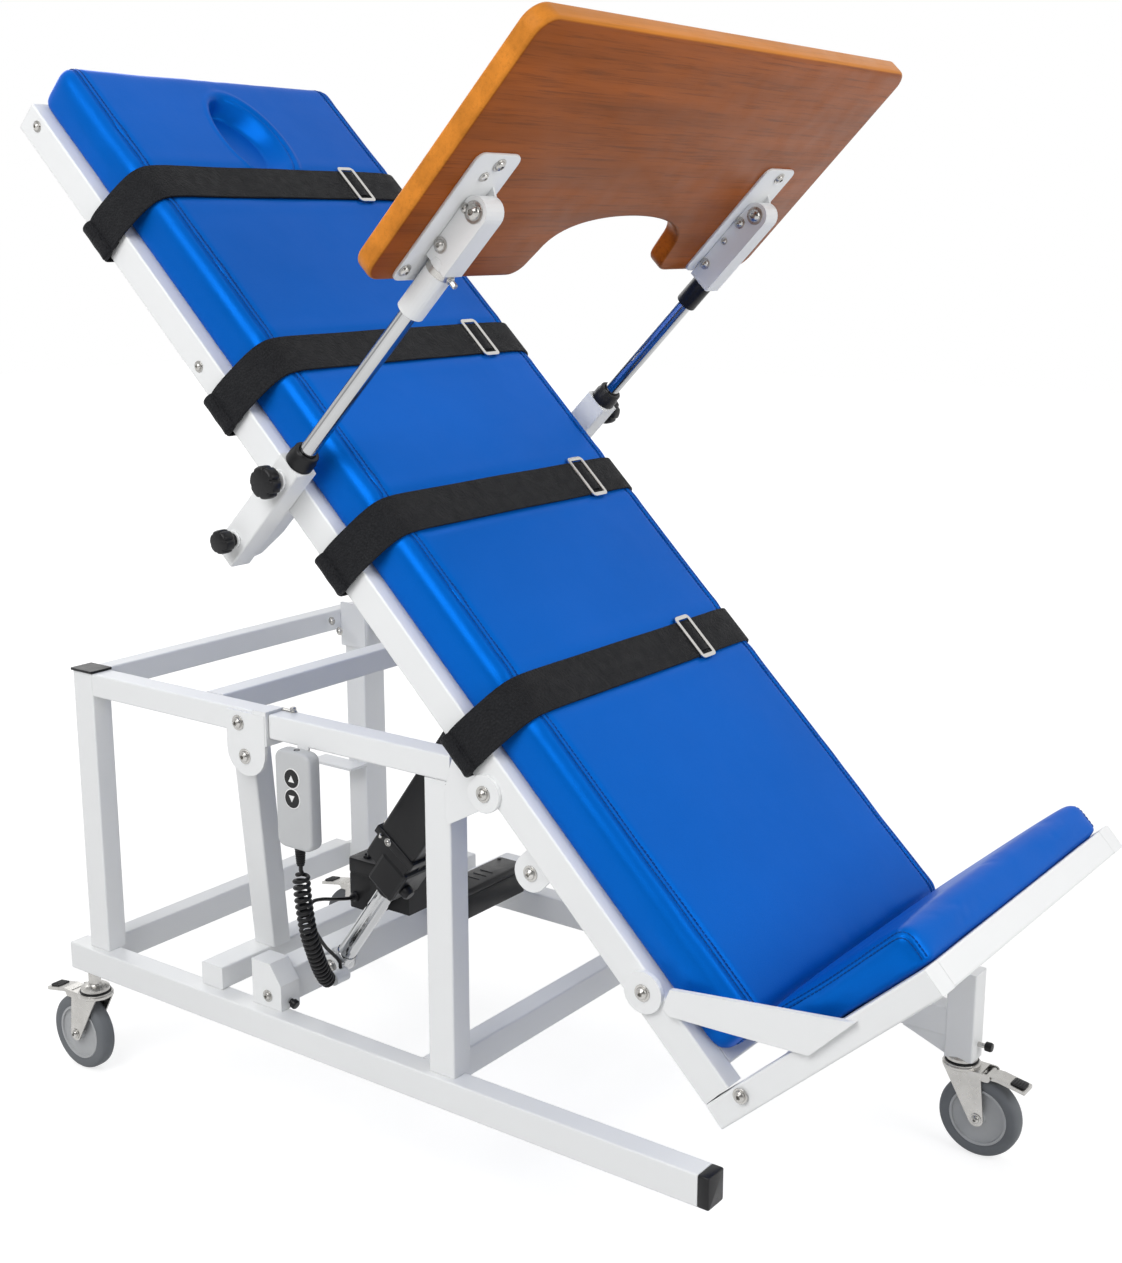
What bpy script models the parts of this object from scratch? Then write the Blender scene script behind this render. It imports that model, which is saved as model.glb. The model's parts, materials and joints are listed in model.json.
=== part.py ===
"""Electric tilt table with a desk, a footplate, straps and a handset. Metres, +Z up.

The base stands on the floor. X runs from the head end to the foot end, and Y from the near side to the far side.
The tilting top has its own frame on the pivot pin: x down the top to the feet, z out of the mattress.
"""

import math

import bmesh
import bpy
import numpy as np
from mathutils import Matrix, Vector

# Clearances
GAP = 0.0003
BORE_GAP = 0.0005
SLIDE_GAP = 0.0015

# Base frame
BASE_LENGTH = 1.3445
BASE_WIDTH = 0.720
RAIL_TOP = 0.250
RAIL_DEPTH = 0.050
RAIL_WIDTH = 0.040
TUBE_CORNER = 0.003
TUBE_WALL = 0.003
CAP_LENGTH = 0.018
POST_LENGTH = 0.050
POST_WIDTH = 0.040
POST_INSET = 0.012
FAR_POST_WIDTH = 0.060
HEAD_POST_X = 0.0417
FAR_HEAD_POST_X = 0.0817
FOOT_POST_X = 0.8381
TOP_FRAME_Z = 0.760
TOP_TUBE_DEPTH = 0.040
TOP_RAIL_BREAK_X = 0.487
TOP_RAIL_BREAK = 0.033
MID_CROSSBAR_X = 0.333
LOWER_HEAD_CROSSBAR_X = 0.008
LOWER_FOOT_CROSSBAR_X = 0.800
STRUT_CROSSBAR_X = 0.323
CROSSBAR_INSET = 0.022
STRUT_CROSSBAR_DEPTH = 0.040
ACTUATOR_CROSSBAR_X = 0.450
ACTUATOR_CROSSBAR_DEPTH = 0.060
END_BLOCK_HEIGHT = 0.078
END_BLOCK_LENGTH = 0.066
END_BLOCK_WIDTH = 0.042
END_BLOCK_CHAMFER = 0.024
FAR_RAIL_X = 0.040
LEG_X = 1.385
LEG_TOP = 0.320
LEG_BOTTOM = 0.1653
LEG_PROUD = 0.001
GUSSET_REACH = 0.076
STRUT_WIDTH = 0.048
STRUT_DEPTH = 0.040
STRUT_TOP_X = 0.456
STRUT_LEAN_X = 0.097
STRUT_LEAN_Y = 0.123
HOOK_PLATE_WIDTH = 0.086
HOOK_PLATE_DROP = 0.105
PLATE_THICKNESS = 0.006
CLIP_SHORT = 0.006
CLIP_PROUD = 0.004
POST_CAP_HEIGHT = 0.003
POST_CAP_LIP = 0.002
SIDE_PLATE_WIDTH = 0.064
SIDE_PLATE_HEIGHT = 0.088
SIDE_TAB_LENGTH = 0.115
SIDE_TAB_WIDTH = 0.046
SIDE_TAB_Z = 0.440
SIDE_TAB_THICKNESS = 0.005

# Tilting top
TILT_DEG = 44.6
PIVOT_X = 0.9951
PIVOT_Z = 0.7388
TOP_NEAR_Y = -0.038
TOP_WIDTH = 0.628
SIDE_RAIL_WIDTH = 0.035
SIDE_RAIL_DEPTH = 0.050
HEAD_REACH = 1.3058
RAIL_BEYOND_MATTRESS = 0.0347
CROSS_MEMBER_WIDTH = 0.050
CROSS_MEMBER_DEPTH = 0.0217
HEAD_MEMBER_X = -1.260
FOOT_MEMBER_BACK = 0.0487
LUG_RADIUS = 0.028
BOSS_RADIUS = 0.030
BOSS_X = 0.347
LINK_LUG_X = 0.119
LINK_LUG_DROP = 0.047
PIN_RADIUS = 0.006
PIVOT_PLATE = 0.010
PIVOT_EYE_RADIUS = 0.022
FAR_PIVOT_GAP = 0.006

# Mattress and footplate
MATTRESS_HEAD = 1.319
MATTRESS_FOOT = 0.475
MATTRESS_INSET = 0.015
MATTRESS_THICKNESS = 0.077
MATTRESS_ROUNDING = 0.024
MATTRESS_CROWN = 0.003
FACE_RECESS_X = -1.159
FACE_RECESS_LENGTH = 0.196
FACE_RECESS_WIDTH = 0.104
FACE_RECESS_DEPTH = 0.034
FOOTPLATE_TURN_DEG = 3.0
ARM_DEPTH = 0.038
ARM_START = 0.002
FOOTPLATE_REACH = 0.402
FOOT_BOARD_START = 0.133
FOOT_BOARD_THICKNESS = 0.006
END_TUBE_DEPTH = 0.040
FOOT_CUSHION_START = 0.138
FOOT_CUSHION_THICKNESS = 0.052
FOOT_CUSHION_CROWN = 0.006
BRACE_THICKNESS = 0.008
BRACE_TIP_BACK = 0.1307
BRACE_TIP_Z = 0.044
BRACE_TIP_WIDTH = 0.013
BRACE_SHOULDER_BACK = 0.1437
BRACE_SHOULDER_Z = 0.072
BRACE_ARM_REACH = 0.0253
BRACE_ARM_Z = 0.193
BRACE_ARM_WIDTH = 0.087

# Straps
STRAP_X = (-1.053, -0.697, -0.390, -0.065)
STRAP_WIDTH = 0.066
STRAP_THICKNESS = 0.003
STRAP_GAP = 0.0005
SLIDER_Y = (0.437, 0.455, 0.458, 0.425)
SLIDER_WIDTH = 0.036
SLIDER_LENGTH = 0.078
SLIDER_THICKNESS = 0.006

# Desk
BRACKET_X = -0.534
BRACKET_LENGTH = 0.045
BRACKET_WIDTH = 0.0397
BRACKET_BOTTOM = -0.120
NEAR_BRACKET_TOP = 0.085
FAR_BRACKET_TOP = 0.138
NEAR_POST_OUT = 0.020
FAR_POST_OUT = 0.055
BRACKET_FIN = 0.004
BRACKET_FIN_DROP = 0.150
DESK_POST_RADIUS = 0.0125
DESK_POST_BOTTOM = -0.060
DESK_POST_TOP = 0.525
NEAR_SLEEVE_RADIUS = 0.0200
FAR_SLEEVE_RADIUS = 0.0165
NEAR_SLEEVE_BOTTOM = 0.395
FAR_SLEEVE_BOTTOM = 0.378
NEAR_CHANNEL_BOTTOM = 0.478
FAR_CHANNEL_BOTTOM = 0.425
CHANNEL_DEPTH = 0.041
CHANNEL_WIDTH = 0.036
DESK_HINGE_Z = 0.572
DESK_THICKNESS = 0.030
DESK_NEAR_OVERHANG = 0.100
DESK_FAR_OVERHANG = 0.145
DESK_LOW = 0.427
DESK_HIGH = 0.850
DESK_CORNER = 0.030
DESK_EDGE_ROUNDING = 0.006
CUTOUT_OFFSET = 0.029
CUTOUT_HALF_WIDTH = 0.175
CUTOUT_DEPTH = 0.115
CUTOUT_ROUNDING = 0.030
HINGE_PLATE_WIDTH = 0.088
HINGE_PLATE_LOW = 0.430
NEAR_HINGE_PLATE_OUT = 0.050
FAR_HINGE_PLATE_OUT = 0.043
HINGE_PLATE_HIGH = 0.648
HINGE_PLATE_THICKNESS = 0.004
HINGE_EAR_THICKNESS = 0.004
HINGE_EAR_RADIUS = 0.012
HINGE_PIN_RADIUS = 0.004
KNOB_RADIUS = 0.024
SMALL_KNOB_RADIUS = 0.018
KNOB_THICKNESS = 0.022
KNOB_NECK_RADIUS = 0.010
KNOB_NECK = 0.012
NEAR_UPPER_KNOB_Z = 0.052
NEAR_LOWER_KNOB_Z = -0.082
FAR_KNOB_Z = 0.108

# Casters
WHEEL_RADIUS = 0.070
WHEEL_WIDTH = 0.030
TREAD_ROUNDING = 0.006
HUB_RECESS = 0.004
CASTER_TRAIL = 0.038
FORK_TOP = 0.153
FORK_INNER = 0.037
FORK_PLATE = 0.003
FORK_COLLAR = 0.012
FORK_COLLAR_RADIUS = 0.024
FORK_CHEEK_RADIUS = 0.013
STEM_RADIUS = 0.011
LEG_STEM = 0.045
AXLE_RADIUS = 0.005
HEAD_CASTER_X = 0.036
FAR_HEAD_CASTER_X = 0.076
FOOT_CASTER_X = LEG_X + 0.024
PEDAL_LENGTH = 0.064
PEDAL_WIDTH = 0.034
PEDAL_THICKNESS = 0.006
PEDAL_PIVOT_X = -0.052
PEDAL_PIVOT_Z = 2 * WHEEL_RADIUS + 0.0065
PEDAL_DROP_DEG = 8.0
PEDAL_HEEL = 0.004
PEDAL_FLAT = 0.018
PEDAL_KNUCKLE = 0.005
PEDAL_PIN = 0.0022
PEDAL_LUG = 0.0065

# Actuator
ACTUATOR_Y = 0.145
ACTUATOR_FOOT_X = 0.530
ACTUATOR_FOOT_Z = 0.300
ACTUATOR_HEAD_X = -0.114
ACTUATOR_HEAD_DROP = 0.050
EAR_THICKNESS = 0.006
EYE_WIDTH = 0.031
EYE_RADIUS = 0.016
EAR_RADIUS = 0.018
ROD_RADIUS = 0.016
ROD_LENGTH = 0.340
HOUSING_START = 0.206
HOUSING_END = 0.270
HOUSING_HALF_DEPTH = 0.030
HOUSING_HALF_WIDTH = 0.035
COLUMN_START = 0.240
COLUMN_END = 0.530
COLUMN_LOW = 0.024
COLUMN_HIGH = 0.057
COLUMN_HALF_WIDTH = 0.033
ROD_BORE_END = 0.440
MOTOR_X = 0.520
MOTOR_Y = 0.1803
MOTOR_Z = 0.385
MOTOR_LENGTH = 0.065
MOTOR_WIDTH = 0.115
MOTOR_HEIGHT = 0.088
BRIDGE_LENGTH = 0.085
BRIDGE_WIDTH = 0.100
BRIDGE_HEIGHT = 0.055
CONTROL_BOX_Y = 0.420
CONTROL_BOX_LENGTH = 0.195
CONTROL_BOX_DEPTH = 0.060
CONTROL_BOX_HEIGHT = 0.056
CONTROL_BOX_Z = 0.282

# Handset and cords
HANDSET_X = 0.5925
HANDSET_WIDTH = 0.075
HANDSET_HEIGHT = 0.1587
HANDSET_DEPTH = 0.026
HANDSET_ROUNDING = 0.009
HANDSET_TOP_Z = 0.7187
HOOK_WIDTH = 0.024
HOOK_THICKNESS = 0.003
HOOK_DROP = 0.060
BUTTON_RADIUS = 0.0145
BUTTON_Z = (0.6760, 0.6435)
BUTTON_PROUD = 0.0015
BUTTON_POCKET = 0.0035
BUTTON_CLEARANCE = 0.0016
RELIEF_X = 0.592
RELIEF_LENGTH = 0.030
RELIEF_RADIUS = 0.009
RELIEF_TIP_RADIUS = 0.0055
CORD_RADIUS = 0.0033
CURL_RADIUS = 0.0112
CURL_COUNT = 26
POINTS_PER_CURL = 8
CURL_RAMP = 0.014
SOCKET_X = 0.556
SOCKET_Z = 0.292
SOCKET_RADIUS = 0.012
SOCKET_LENGTH = 0.024
LEAD_RADIUS = 0.0030

# Places that follow from the sizes above
RAIL_BOTTOM = RAIL_TOP - RAIL_DEPTH
FAR_RAIL_Y = BASE_WIDTH - RAIL_WIDTH
FAR_POST_FRONT = BASE_WIDTH - POST_INSET - FAR_POST_WIDTH
TOP_TUBE_Z = TOP_FRAME_Z - TOP_TUBE_DEPTH
FOOT_POST_END = FOOT_POST_X + POST_LENGTH
TOP_FAR_Y = TOP_NEAR_Y + TOP_WIDTH
TOP_INNER_NEAR = TOP_NEAR_Y + SIDE_RAIL_WIDTH
TOP_INNER_FAR = TOP_FAR_Y - SIDE_RAIL_WIDTH
FOOT_REACH = MATTRESS_FOOT + RAIL_BEYOND_MATTRESS
NEAR_POST_Y = TOP_NEAR_Y - NEAR_POST_OUT
FAR_POST_Y = TOP_FAR_Y + FAR_POST_OUT
DESK_Y = (NEAR_POST_Y - DESK_NEAR_OVERHANG, FAR_POST_Y + DESK_FAR_OVERHANG)
CUTOUT_Y = (DESK_Y[0] + DESK_Y[1]) / 2 + CUTOUT_OFFSET
MEMBER_Z = SIDE_RAIL_DEPTH - GAP - CROSS_MEMBER_DEPTH
MATTRESS_Z = SIDE_RAIL_DEPTH + GAP
MATTRESS_TOP = MATTRESS_Z + MATTRESS_THICKNESS
CHANNEL_X = BRACKET_X
DESK_UNDERSIDE_X = CHANNEL_X - CHANNEL_DEPTH / 2 - BORE_GAP - HINGE_PLATE_THICKNESS
NEAR_EAR_Y = ACTUATOR_Y - EYE_WIDTH / 2 - SLIDE_GAP - EAR_THICKNESS
SOCKET_FACE_Y = NEAR_EAR_Y - SOCKET_LENGTH
TILT = math.radians(TILT_DEG)

CAP_SEGMENTS = 20


def clear_scene():
    for obj in list(bpy.data.objects):
        bpy.data.objects.remove(obj, do_unlink=True)


def new_collection(name):
    collection = bpy.data.collections.new(name)
    bpy.context.scene.collection.children.link(collection)
    return collection


clear_scene()
PARTS = new_collection("electric_tilt_table")
CUTTERS = new_collection("cutters")
CUTTERS.hide_render = True


def paint(name, colour, roughness, metallic=0.0):
    material = bpy.data.materials.new(name)
    material.use_nodes = True
    shader = material.node_tree.nodes["Principled BSDF"]
    shader.inputs["Base Color"].default_value = (*colour, 1.0)
    shader.inputs["Roughness"].default_value = roughness
    shader.inputs["Metallic"].default_value = metallic
    return material


WHITE = paint("white_powder_coat", (0.83, 0.84, 0.86), 0.38)
BLACK = paint("black_plastic", (0.018, 0.018, 0.020), 0.42)
BLUE = paint("blue_vinyl", (0.006, 0.115, 0.52), 0.36)
WEBBING = paint("black_webbing", (0.020, 0.021, 0.024), 0.72)
WOOD = paint("stained_wood", (0.33, 0.105, 0.030), 0.42)
CHROME = paint("polished_chrome", (0.82, 0.83, 0.85), 0.10, 1.0)
STEEL = paint("zinc_plated_steel", (0.62, 0.63, 0.65), 0.30, 1.0)
RUBBER = paint("grey_rubber_tread", (0.16, 0.17, 0.18), 0.62)
SHELL = paint("light_grey_plastic", (0.60, 0.61, 0.62), 0.40)


# Places

def empty(name, location, parent=None, turn=0.0, axis="Y"):
    """An axis or a sub-assembly's frame, turned about one axis."""
    frame = bpy.data.objects.new(name, None)
    PARTS.objects.link(frame)
    frame.parent = parent
    frame.matrix_basis = Matrix.Translation(location) @ Matrix.Rotation(turn, 4, axis)
    return frame


ROOT = empty("tilt_table", (0, 0, 0))
TOP = empty("table_tilt_axis", (PIVOT_X, 0, PIVOT_Z), ROOT, TILT)
FOOTPLATE = empty("footplate", (FOOT_REACH + GAP, 0, 0), TOP, math.radians(FOOTPLATE_TURN_DEG))
DESK_SLIDE = empty("desk_posts", (0, 0, 0), TOP)
DESK_TILT = empty("desk_tilt_axis", (CHANNEL_X, 0, DESK_HINGE_Z), DESK_SLIDE)


def actuator_head():
    """The open pivot at the actuator's upper end, in the base's frame."""
    reach = Vector((ACTUATOR_HEAD_X, 0, -ACTUATOR_HEAD_DROP))
    return Vector((PIVOT_X, 0, PIVOT_Z)) + Matrix.Rotation(TILT, 3, "Y") @ reach


ACTUATOR_LINE = actuator_head() - Vector((ACTUATOR_FOOT_X, 0, ACTUATOR_FOOT_Z))
ACTUATOR_LENGTH = ACTUATOR_LINE.length
ACTUATOR_ANGLE = math.atan2(ACTUATOR_LINE.z, ACTUATOR_LINE.x)
ACTUATOR = empty(
    "actuator_foot_axis", (ACTUATOR_FOOT_X, ACTUATOR_Y, ACTUATOR_FOOT_Z), ROOT, -ACTUATOR_ANGLE
)


# Shapes

def mesh_of(bm, name="shape"):
    bmesh.ops.recalc_face_normals(bm, faces=bm.faces)
    mesh = bpy.data.meshes.new(name)
    bm.to_mesh(mesh)
    bm.free()
    return mesh


def box(low, high):
    """A plain block between two corners."""
    low, high = Vector(low), Vector(high)
    bm = bmesh.new()
    bmesh.ops.create_cube(bm, size=1.0)
    bmesh.ops.scale(bm, vec=high - low, verts=bm.verts)
    bmesh.ops.translate(bm, vec=(low + high) / 2, verts=bm.verts)
    return mesh_of(bm)


def cylinder(radius, start, end, segments=CAP_SEGMENTS, tip_radius=None):
    """A round bar or cone between two points."""
    start, end = Vector(start), Vector(end)
    bm = bmesh.new()
    bmesh.ops.create_cone(
        bm,
        cap_ends=True,
        segments=segments,
        radius1=radius,
        radius2=radius if tip_radius is None else tip_radius,
        depth=(end - start).length,
    )
    turn = Vector((0, 0, 1)).rotation_difference(end - start).to_matrix().to_4x4()
    bmesh.ops.transform(bm, matrix=Matrix.Translation((start + end) / 2) @ turn, verts=bm.verts)
    return mesh_of(bm)


def arc(centre, radius, start_deg, end_deg, steps):
    angles = np.radians(np.linspace(start_deg, end_deg, steps + 1))
    return [(centre[0] + radius * math.cos(a), centre[1] + radius * math.sin(a)) for a in angles]


def rounded_rectangle(width, height, radius, steps=3):
    points = []
    for quarter, (x, y) in enumerate(((1, 1), (-1, 1), (-1, -1), (1, -1))):
        centre = (x * (width / 2 - radius), y * (height / 2 - radius))
        points += arc(centre, radius, 90 * quarter, 90 * quarter + 90, steps)
    return points


PLANES = {
    "XY": Matrix.Identity(3),
    "XZ": Matrix(((1, 0, 0), (0, 0, -1), (0, 1, 0))),
    "YZ": Matrix(((0, 0, 1), (1, 0, 0), (0, 1, 0))),
}


def prism(outlines, low, high, plane):
    """Flat outlines, the first solid and any others holes, thickened from low to high along the plane's normal."""
    curve = bpy.data.curves.new("outline", "CURVE")
    curve.dimensions = "2D"
    curve.fill_mode = "BOTH"
    curve.extrude = (high - low) / 2
    for outline in outlines:
        spline = curve.splines.new("POLY")
        spline.points.add(len(outline) - 1)
        for point, (x, y) in zip(spline.points, outline):
            point.co = (x, y, 0, 1)
        spline.use_cyclic_u = True
    drawn = bpy.data.objects.new("outline", curve)
    CUTTERS.objects.link(drawn)
    bpy.context.view_layer.update()
    mesh = bpy.data.meshes.new_from_object(drawn.evaluated_get(bpy.context.evaluated_depsgraph_get()))
    bpy.data.objects.remove(drawn, do_unlink=True)
    bm = bmesh.new()
    bm.from_mesh(mesh)
    bmesh.ops.remove_doubles(bm, verts=bm.verts, dist=1e-6)
    axes = PLANES[plane]
    along = axes @ Vector((0, 0, (low + high) / 2))
    if plane == "XZ":
        along = -along
    bmesh.ops.transform(bm, matrix=Matrix.Translation(along) @ axes.to_4x4(), verts=bm.verts)
    return mesh_of(bm)


def turned(profile, axis="Z", steps=20):
    """A profile of radius and height, top to bottom, turned about the local Z axis and laid along the axis named."""
    bm = bmesh.new()
    points = [bm.verts.new((radius, 0, height)) for radius, height in profile]
    for first, second in zip(points, points[1:]):
        bm.edges.new((first, second))
    mesh = bpy.data.meshes.new("profile")
    bm.to_mesh(mesh)
    bm.free()
    drawn = bpy.data.objects.new("profile", mesh)
    CUTTERS.objects.link(drawn)
    screw = drawn.modifiers.new("turn", "SCREW")
    screw.steps = steps
    screw.render_steps = steps
    screw.use_merge_vertices = True
    screw.merge_threshold = 1e-5
    bpy.context.view_layer.update()
    made = bpy.data.meshes.new_from_object(drawn.evaluated_get(bpy.context.evaluated_depsgraph_get()))
    bpy.data.objects.remove(drawn, do_unlink=True)
    bm = bmesh.new()
    bm.from_mesh(made)
    if axis == "Y":
        bmesh.ops.rotate(bm, matrix=Matrix.Rotation(math.radians(90), 3, "X"), verts=bm.verts)
    return mesh_of(bm)


def moved(mesh, offset=(0, 0, 0), turn=0.0, axis="Y"):
    mesh.transform(Matrix.Translation(offset) @ Matrix.Rotation(turn, 4, axis))
    return mesh


def tube(size, axis, corner=TUBE_CORNER):
    """A rounded rectangular bar centred on the origin: size gives its X, Y and Z sides."""
    plane = {"X": "YZ", "Y": "XZ", "Z": "XY"}[axis]
    sides = {"X": (size[1], size[2]), "Y": (size[0], size[2]), "Z": (size[0], size[1])}[axis]
    length = {"X": size[0], "Y": size[1], "Z": size[2]}[axis]
    return prism([rounded_rectangle(*sides, corner)], -length / 2, length / 2, plane)


# Nodes

def node(name, mesh, material, parent, location=(0, 0, 0), smooth_deg=35.0):
    mesh.name = name
    mesh.materials.clear()
    mesh.materials.append(material)
    mesh.shade_smooth()
    mesh.set_sharp_from_angle(angle=math.radians(smooth_deg))
    obj = bpy.data.objects.new(name, mesh)
    PARTS.objects.link(obj)
    obj.parent = parent
    obj.location = location
    return obj


def combine(obj, operation, *meshes):
    """Cuts or adds shapes that are given in the object's own frame."""
    for number, mesh in enumerate(meshes):
        tool = bpy.data.objects.new(f"{obj.name}_{operation.lower()}_{len(obj.modifiers)}", mesh)
        CUTTERS.objects.link(tool)
        tool.parent = obj.parent
        tool.matrix_parent_inverse = obj.matrix_parent_inverse
        tool.location = obj.location
        tool.display_type = "WIRE"
        tool.hide_render = True
        step = obj.modifiers.new(operation.lower() + str(number), "BOOLEAN")
        step.operation = operation
        step.solver = "EXACT"
        step.object = tool


def cut(obj, *meshes):
    combine(obj, "DIFFERENCE", *meshes)


def add(obj, *meshes):
    combine(obj, "UNION", *meshes)


def round_edges(obj, width, segments=2, angle_deg=40):
    bevel = obj.modifiers.new("round", "BEVEL")
    bevel.width = width
    bevel.segments = segments
    bevel.limit_method = "ANGLE"
    bevel.angle_limit = math.radians(angle_deg)


def bar(name, low, high, axis, parent=ROOT, material=WHITE, corner=TUBE_CORNER):
    """A rectangular tube between two corners of its parent's frame, with its origin at its middle."""
    low, high = Vector(low), Vector(high)
    return node(name, tube(high - low, axis, corner), material, parent, (low + high) / 2)


def inside(obj, mesh):
    """A shape drawn in the parent's frame, brought into the object's own frame."""
    return moved(mesh, -Vector(obj.location))


def hollow(obj, low, high, axis):
    """Empties a tube from one open end, which the low or high corner passes, leaving its wall all round."""
    along = "XYZ".index(axis)
    wall = Vector([TUBE_WALL if other != along else 0.0 for other in range(3)])
    cut(obj, inside(obj, box(Vector(low) + wall, Vector(high) - wall)))


# Base frame

def base_rails():
    steel_end = BASE_LENGTH - CAP_LENGTH
    near = bar("near_base_rail", (0, 0, RAIL_BOTTOM), (steel_end, RAIL_WIDTH, RAIL_TOP), "X")
    hollow(near, (TUBE_WALL, 0, RAIL_BOTTOM), (steel_end + 0.010, RAIL_WIDTH, RAIL_TOP), "X")
    cap = bar(
        "near_rail_cap",
        (steel_end + GAP, 0, RAIL_BOTTOM),
        (BASE_LENGTH, RAIL_WIDTH, RAIL_TOP),
        "X",
        material=BLACK,
    )
    round_edges(cap, 0.002, 1, 60)
    leg_end = LEG_X + POST_LENGTH
    far = bar(
        "far_base_rail", (FAR_RAIL_X, FAR_RAIL_Y, RAIL_BOTTOM), (LEG_X + 0.010, BASE_WIDTH, RAIL_TOP), "X"
    )
    leg = moved(
        tube((POST_LENGTH, RAIL_WIDTH + 2 * LEG_PROUD, LEG_TOP - LEG_BOTTOM), "Z"),
        ((LEG_X + leg_end) / 2, BASE_WIDTH - RAIL_WIDTH / 2, (LEG_TOP + LEG_BOTTOM) / 2),
    )
    overlap = 0.002
    gusset = prism(
        [[
            (LEG_X - GUSSET_REACH, RAIL_BOTTOM + overlap),
            (LEG_X - GUSSET_REACH, RAIL_BOTTOM - overlap),
            (LEG_X + overlap, LEG_BOTTOM + 0.003),
            (LEG_X + overlap, RAIL_BOTTOM + overlap),
        ]],
        FAR_RAIL_Y + TUBE_CORNER,
        BASE_WIDTH - TUBE_CORNER,
        "XZ",
    )
    add(far, inside(far, leg), inside(far, gusset))
    centre_y = BASE_WIDTH - RAIL_WIDTH / 2
    stem_bore = cylinder(
        STEM_RADIUS + BORE_GAP,
        (FOOT_CASTER_X, centre_y, LEG_BOTTOM - 0.01),
        (FOOT_CASTER_X, centre_y, LEG_BOTTOM + LEG_STEM + 0.004),
    )
    cut(far, inside(far, stem_bore))


def pivot_bracket(post, plate_low, plate_high, block_far, pin_start, pin_end):
    """The welded plate that carries the top's pivot pin beyond a foot post."""
    root_x = FOOT_POST_END + GAP
    root_top = TOP_TUBE_Z - 2 * GAP
    root_bottom = root_top - 0.062
    eye = arc((PIVOT_X, PIVOT_Z), PIVOT_EYE_RADIUS, 90, -90, 12)
    outline = [(root_x, root_bottom), (root_x, root_top), (root_x + 0.012, PIVOT_Z + PIVOT_EYE_RADIUS)]
    plate = prism([outline + eye], plate_low, plate_high, "XZ")
    block = box(
        (FOOT_POST_END - 0.002, min(plate_low, block_far), root_bottom + 0.010),
        (root_x + 0.008, max(plate_low, block_far), root_top),
    )
    pin = cylinder(PIN_RADIUS, (PIVOT_X, pin_start, PIVOT_Z), (PIVOT_X, pin_end, PIVOT_Z))
    add(post, inside(post, plate), inside(post, block), inside(post, pin))


def posts():
    foot = RAIL_TOP + GAP
    near_y = (POST_INSET, POST_INSET + POST_WIDTH)
    far_y = (FAR_POST_FRONT, FAR_POST_FRONT + FAR_POST_WIDTH)
    under_rail = TOP_TUBE_Z - GAP
    near_head = bar(
        "near_head_post",
        (HEAD_POST_X, near_y[0], foot),
        (HEAD_POST_X + POST_LENGTH, near_y[1], TOP_FRAME_Z),
        "Z",
    )
    hollow(
        near_head,
        (HEAD_POST_X, near_y[0], foot - 0.010),
        (HEAD_POST_X + POST_LENGTH, near_y[1], TOP_FRAME_Z - 2 * TUBE_WALL),
        "Z",
    )
    cap = box(
        (HEAD_POST_X - POST_CAP_LIP, near_y[0] - POST_CAP_LIP, TOP_FRAME_Z + GAP),
        (HEAD_POST_X + POST_LENGTH + POST_CAP_LIP, near_y[1] + POST_CAP_LIP, TOP_FRAME_Z + POST_CAP_HEIGHT),
    )
    plug = box(
        (HEAD_POST_X + 0.005, near_y[0] + 0.005, TOP_FRAME_Z - 0.002),
        (HEAD_POST_X + POST_LENGTH - 0.005, near_y[1] - 0.005, TOP_FRAME_Z + POST_CAP_HEIGHT / 2),
    )
    add(near_head, inside(near_head, plug), inside(near_head, cap))
    near_foot = bar(
        "near_foot_post", (FOOT_POST_X, near_y[0], foot), (FOOT_POST_END, near_y[1], under_rail), "Z"
    )
    hollow(
        near_foot,
        (FOOT_POST_X, near_y[0], foot - 0.010),
        (FOOT_POST_END, near_y[1], TOP_TUBE_Z - 0.080),
        "Z",
    )
    plate_far = POST_INSET + BORE_GAP
    pivot_bracket(
        near_foot,
        plate_far - PIVOT_PLATE,
        plate_far,
        near_y[1] - 2 * TUBE_CORNER,
        plate_far - 0.002,
        TOP_NEAR_Y - PLATE_THICKNESS,
    )
    far_head = bar(
        "far_head_post",
        (FAR_HEAD_POST_X, far_y[0], foot),
        (FAR_HEAD_POST_X + POST_LENGTH, far_y[1], TOP_FRAME_Z),
        "Z",
    )
    plate_top = TOP_FRAME_Z + 0.015
    side_plate = box(
        (FAR_HEAD_POST_X - 0.004, far_y[0] - PLATE_THICKNESS, plate_top - SIDE_PLATE_HEIGHT),
        (FAR_HEAD_POST_X - 0.004 + SIDE_PLATE_WIDTH, far_y[0] + 0.001, plate_top),
    )
    tab_end = FAR_HEAD_POST_X + POST_LENGTH
    tab = box(
        (tab_end - SIDE_TAB_LENGTH, far_y[0] - SIDE_TAB_WIDTH, SIDE_TAB_Z),
        (tab_end, far_y[0] + 0.001, SIDE_TAB_Z + SIDE_TAB_THICKNESS),
    )
    add(far_head, inside(far_head, side_plate), inside(far_head, tab))
    far_foot = bar(
        "far_foot_post", (FOOT_POST_X, far_y[0], foot), (FOOT_POST_END, far_y[1], under_rail), "Z"
    )
    plate_near = TOP_FAR_Y + FAR_PIVOT_GAP
    pivot_bracket(
        far_foot,
        plate_near,
        plate_near + PIVOT_PLATE,
        far_y[0] + POST_WIDTH,
        plate_near + 0.002,
        TOP_INNER_FAR - 0.004,
    )


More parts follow.
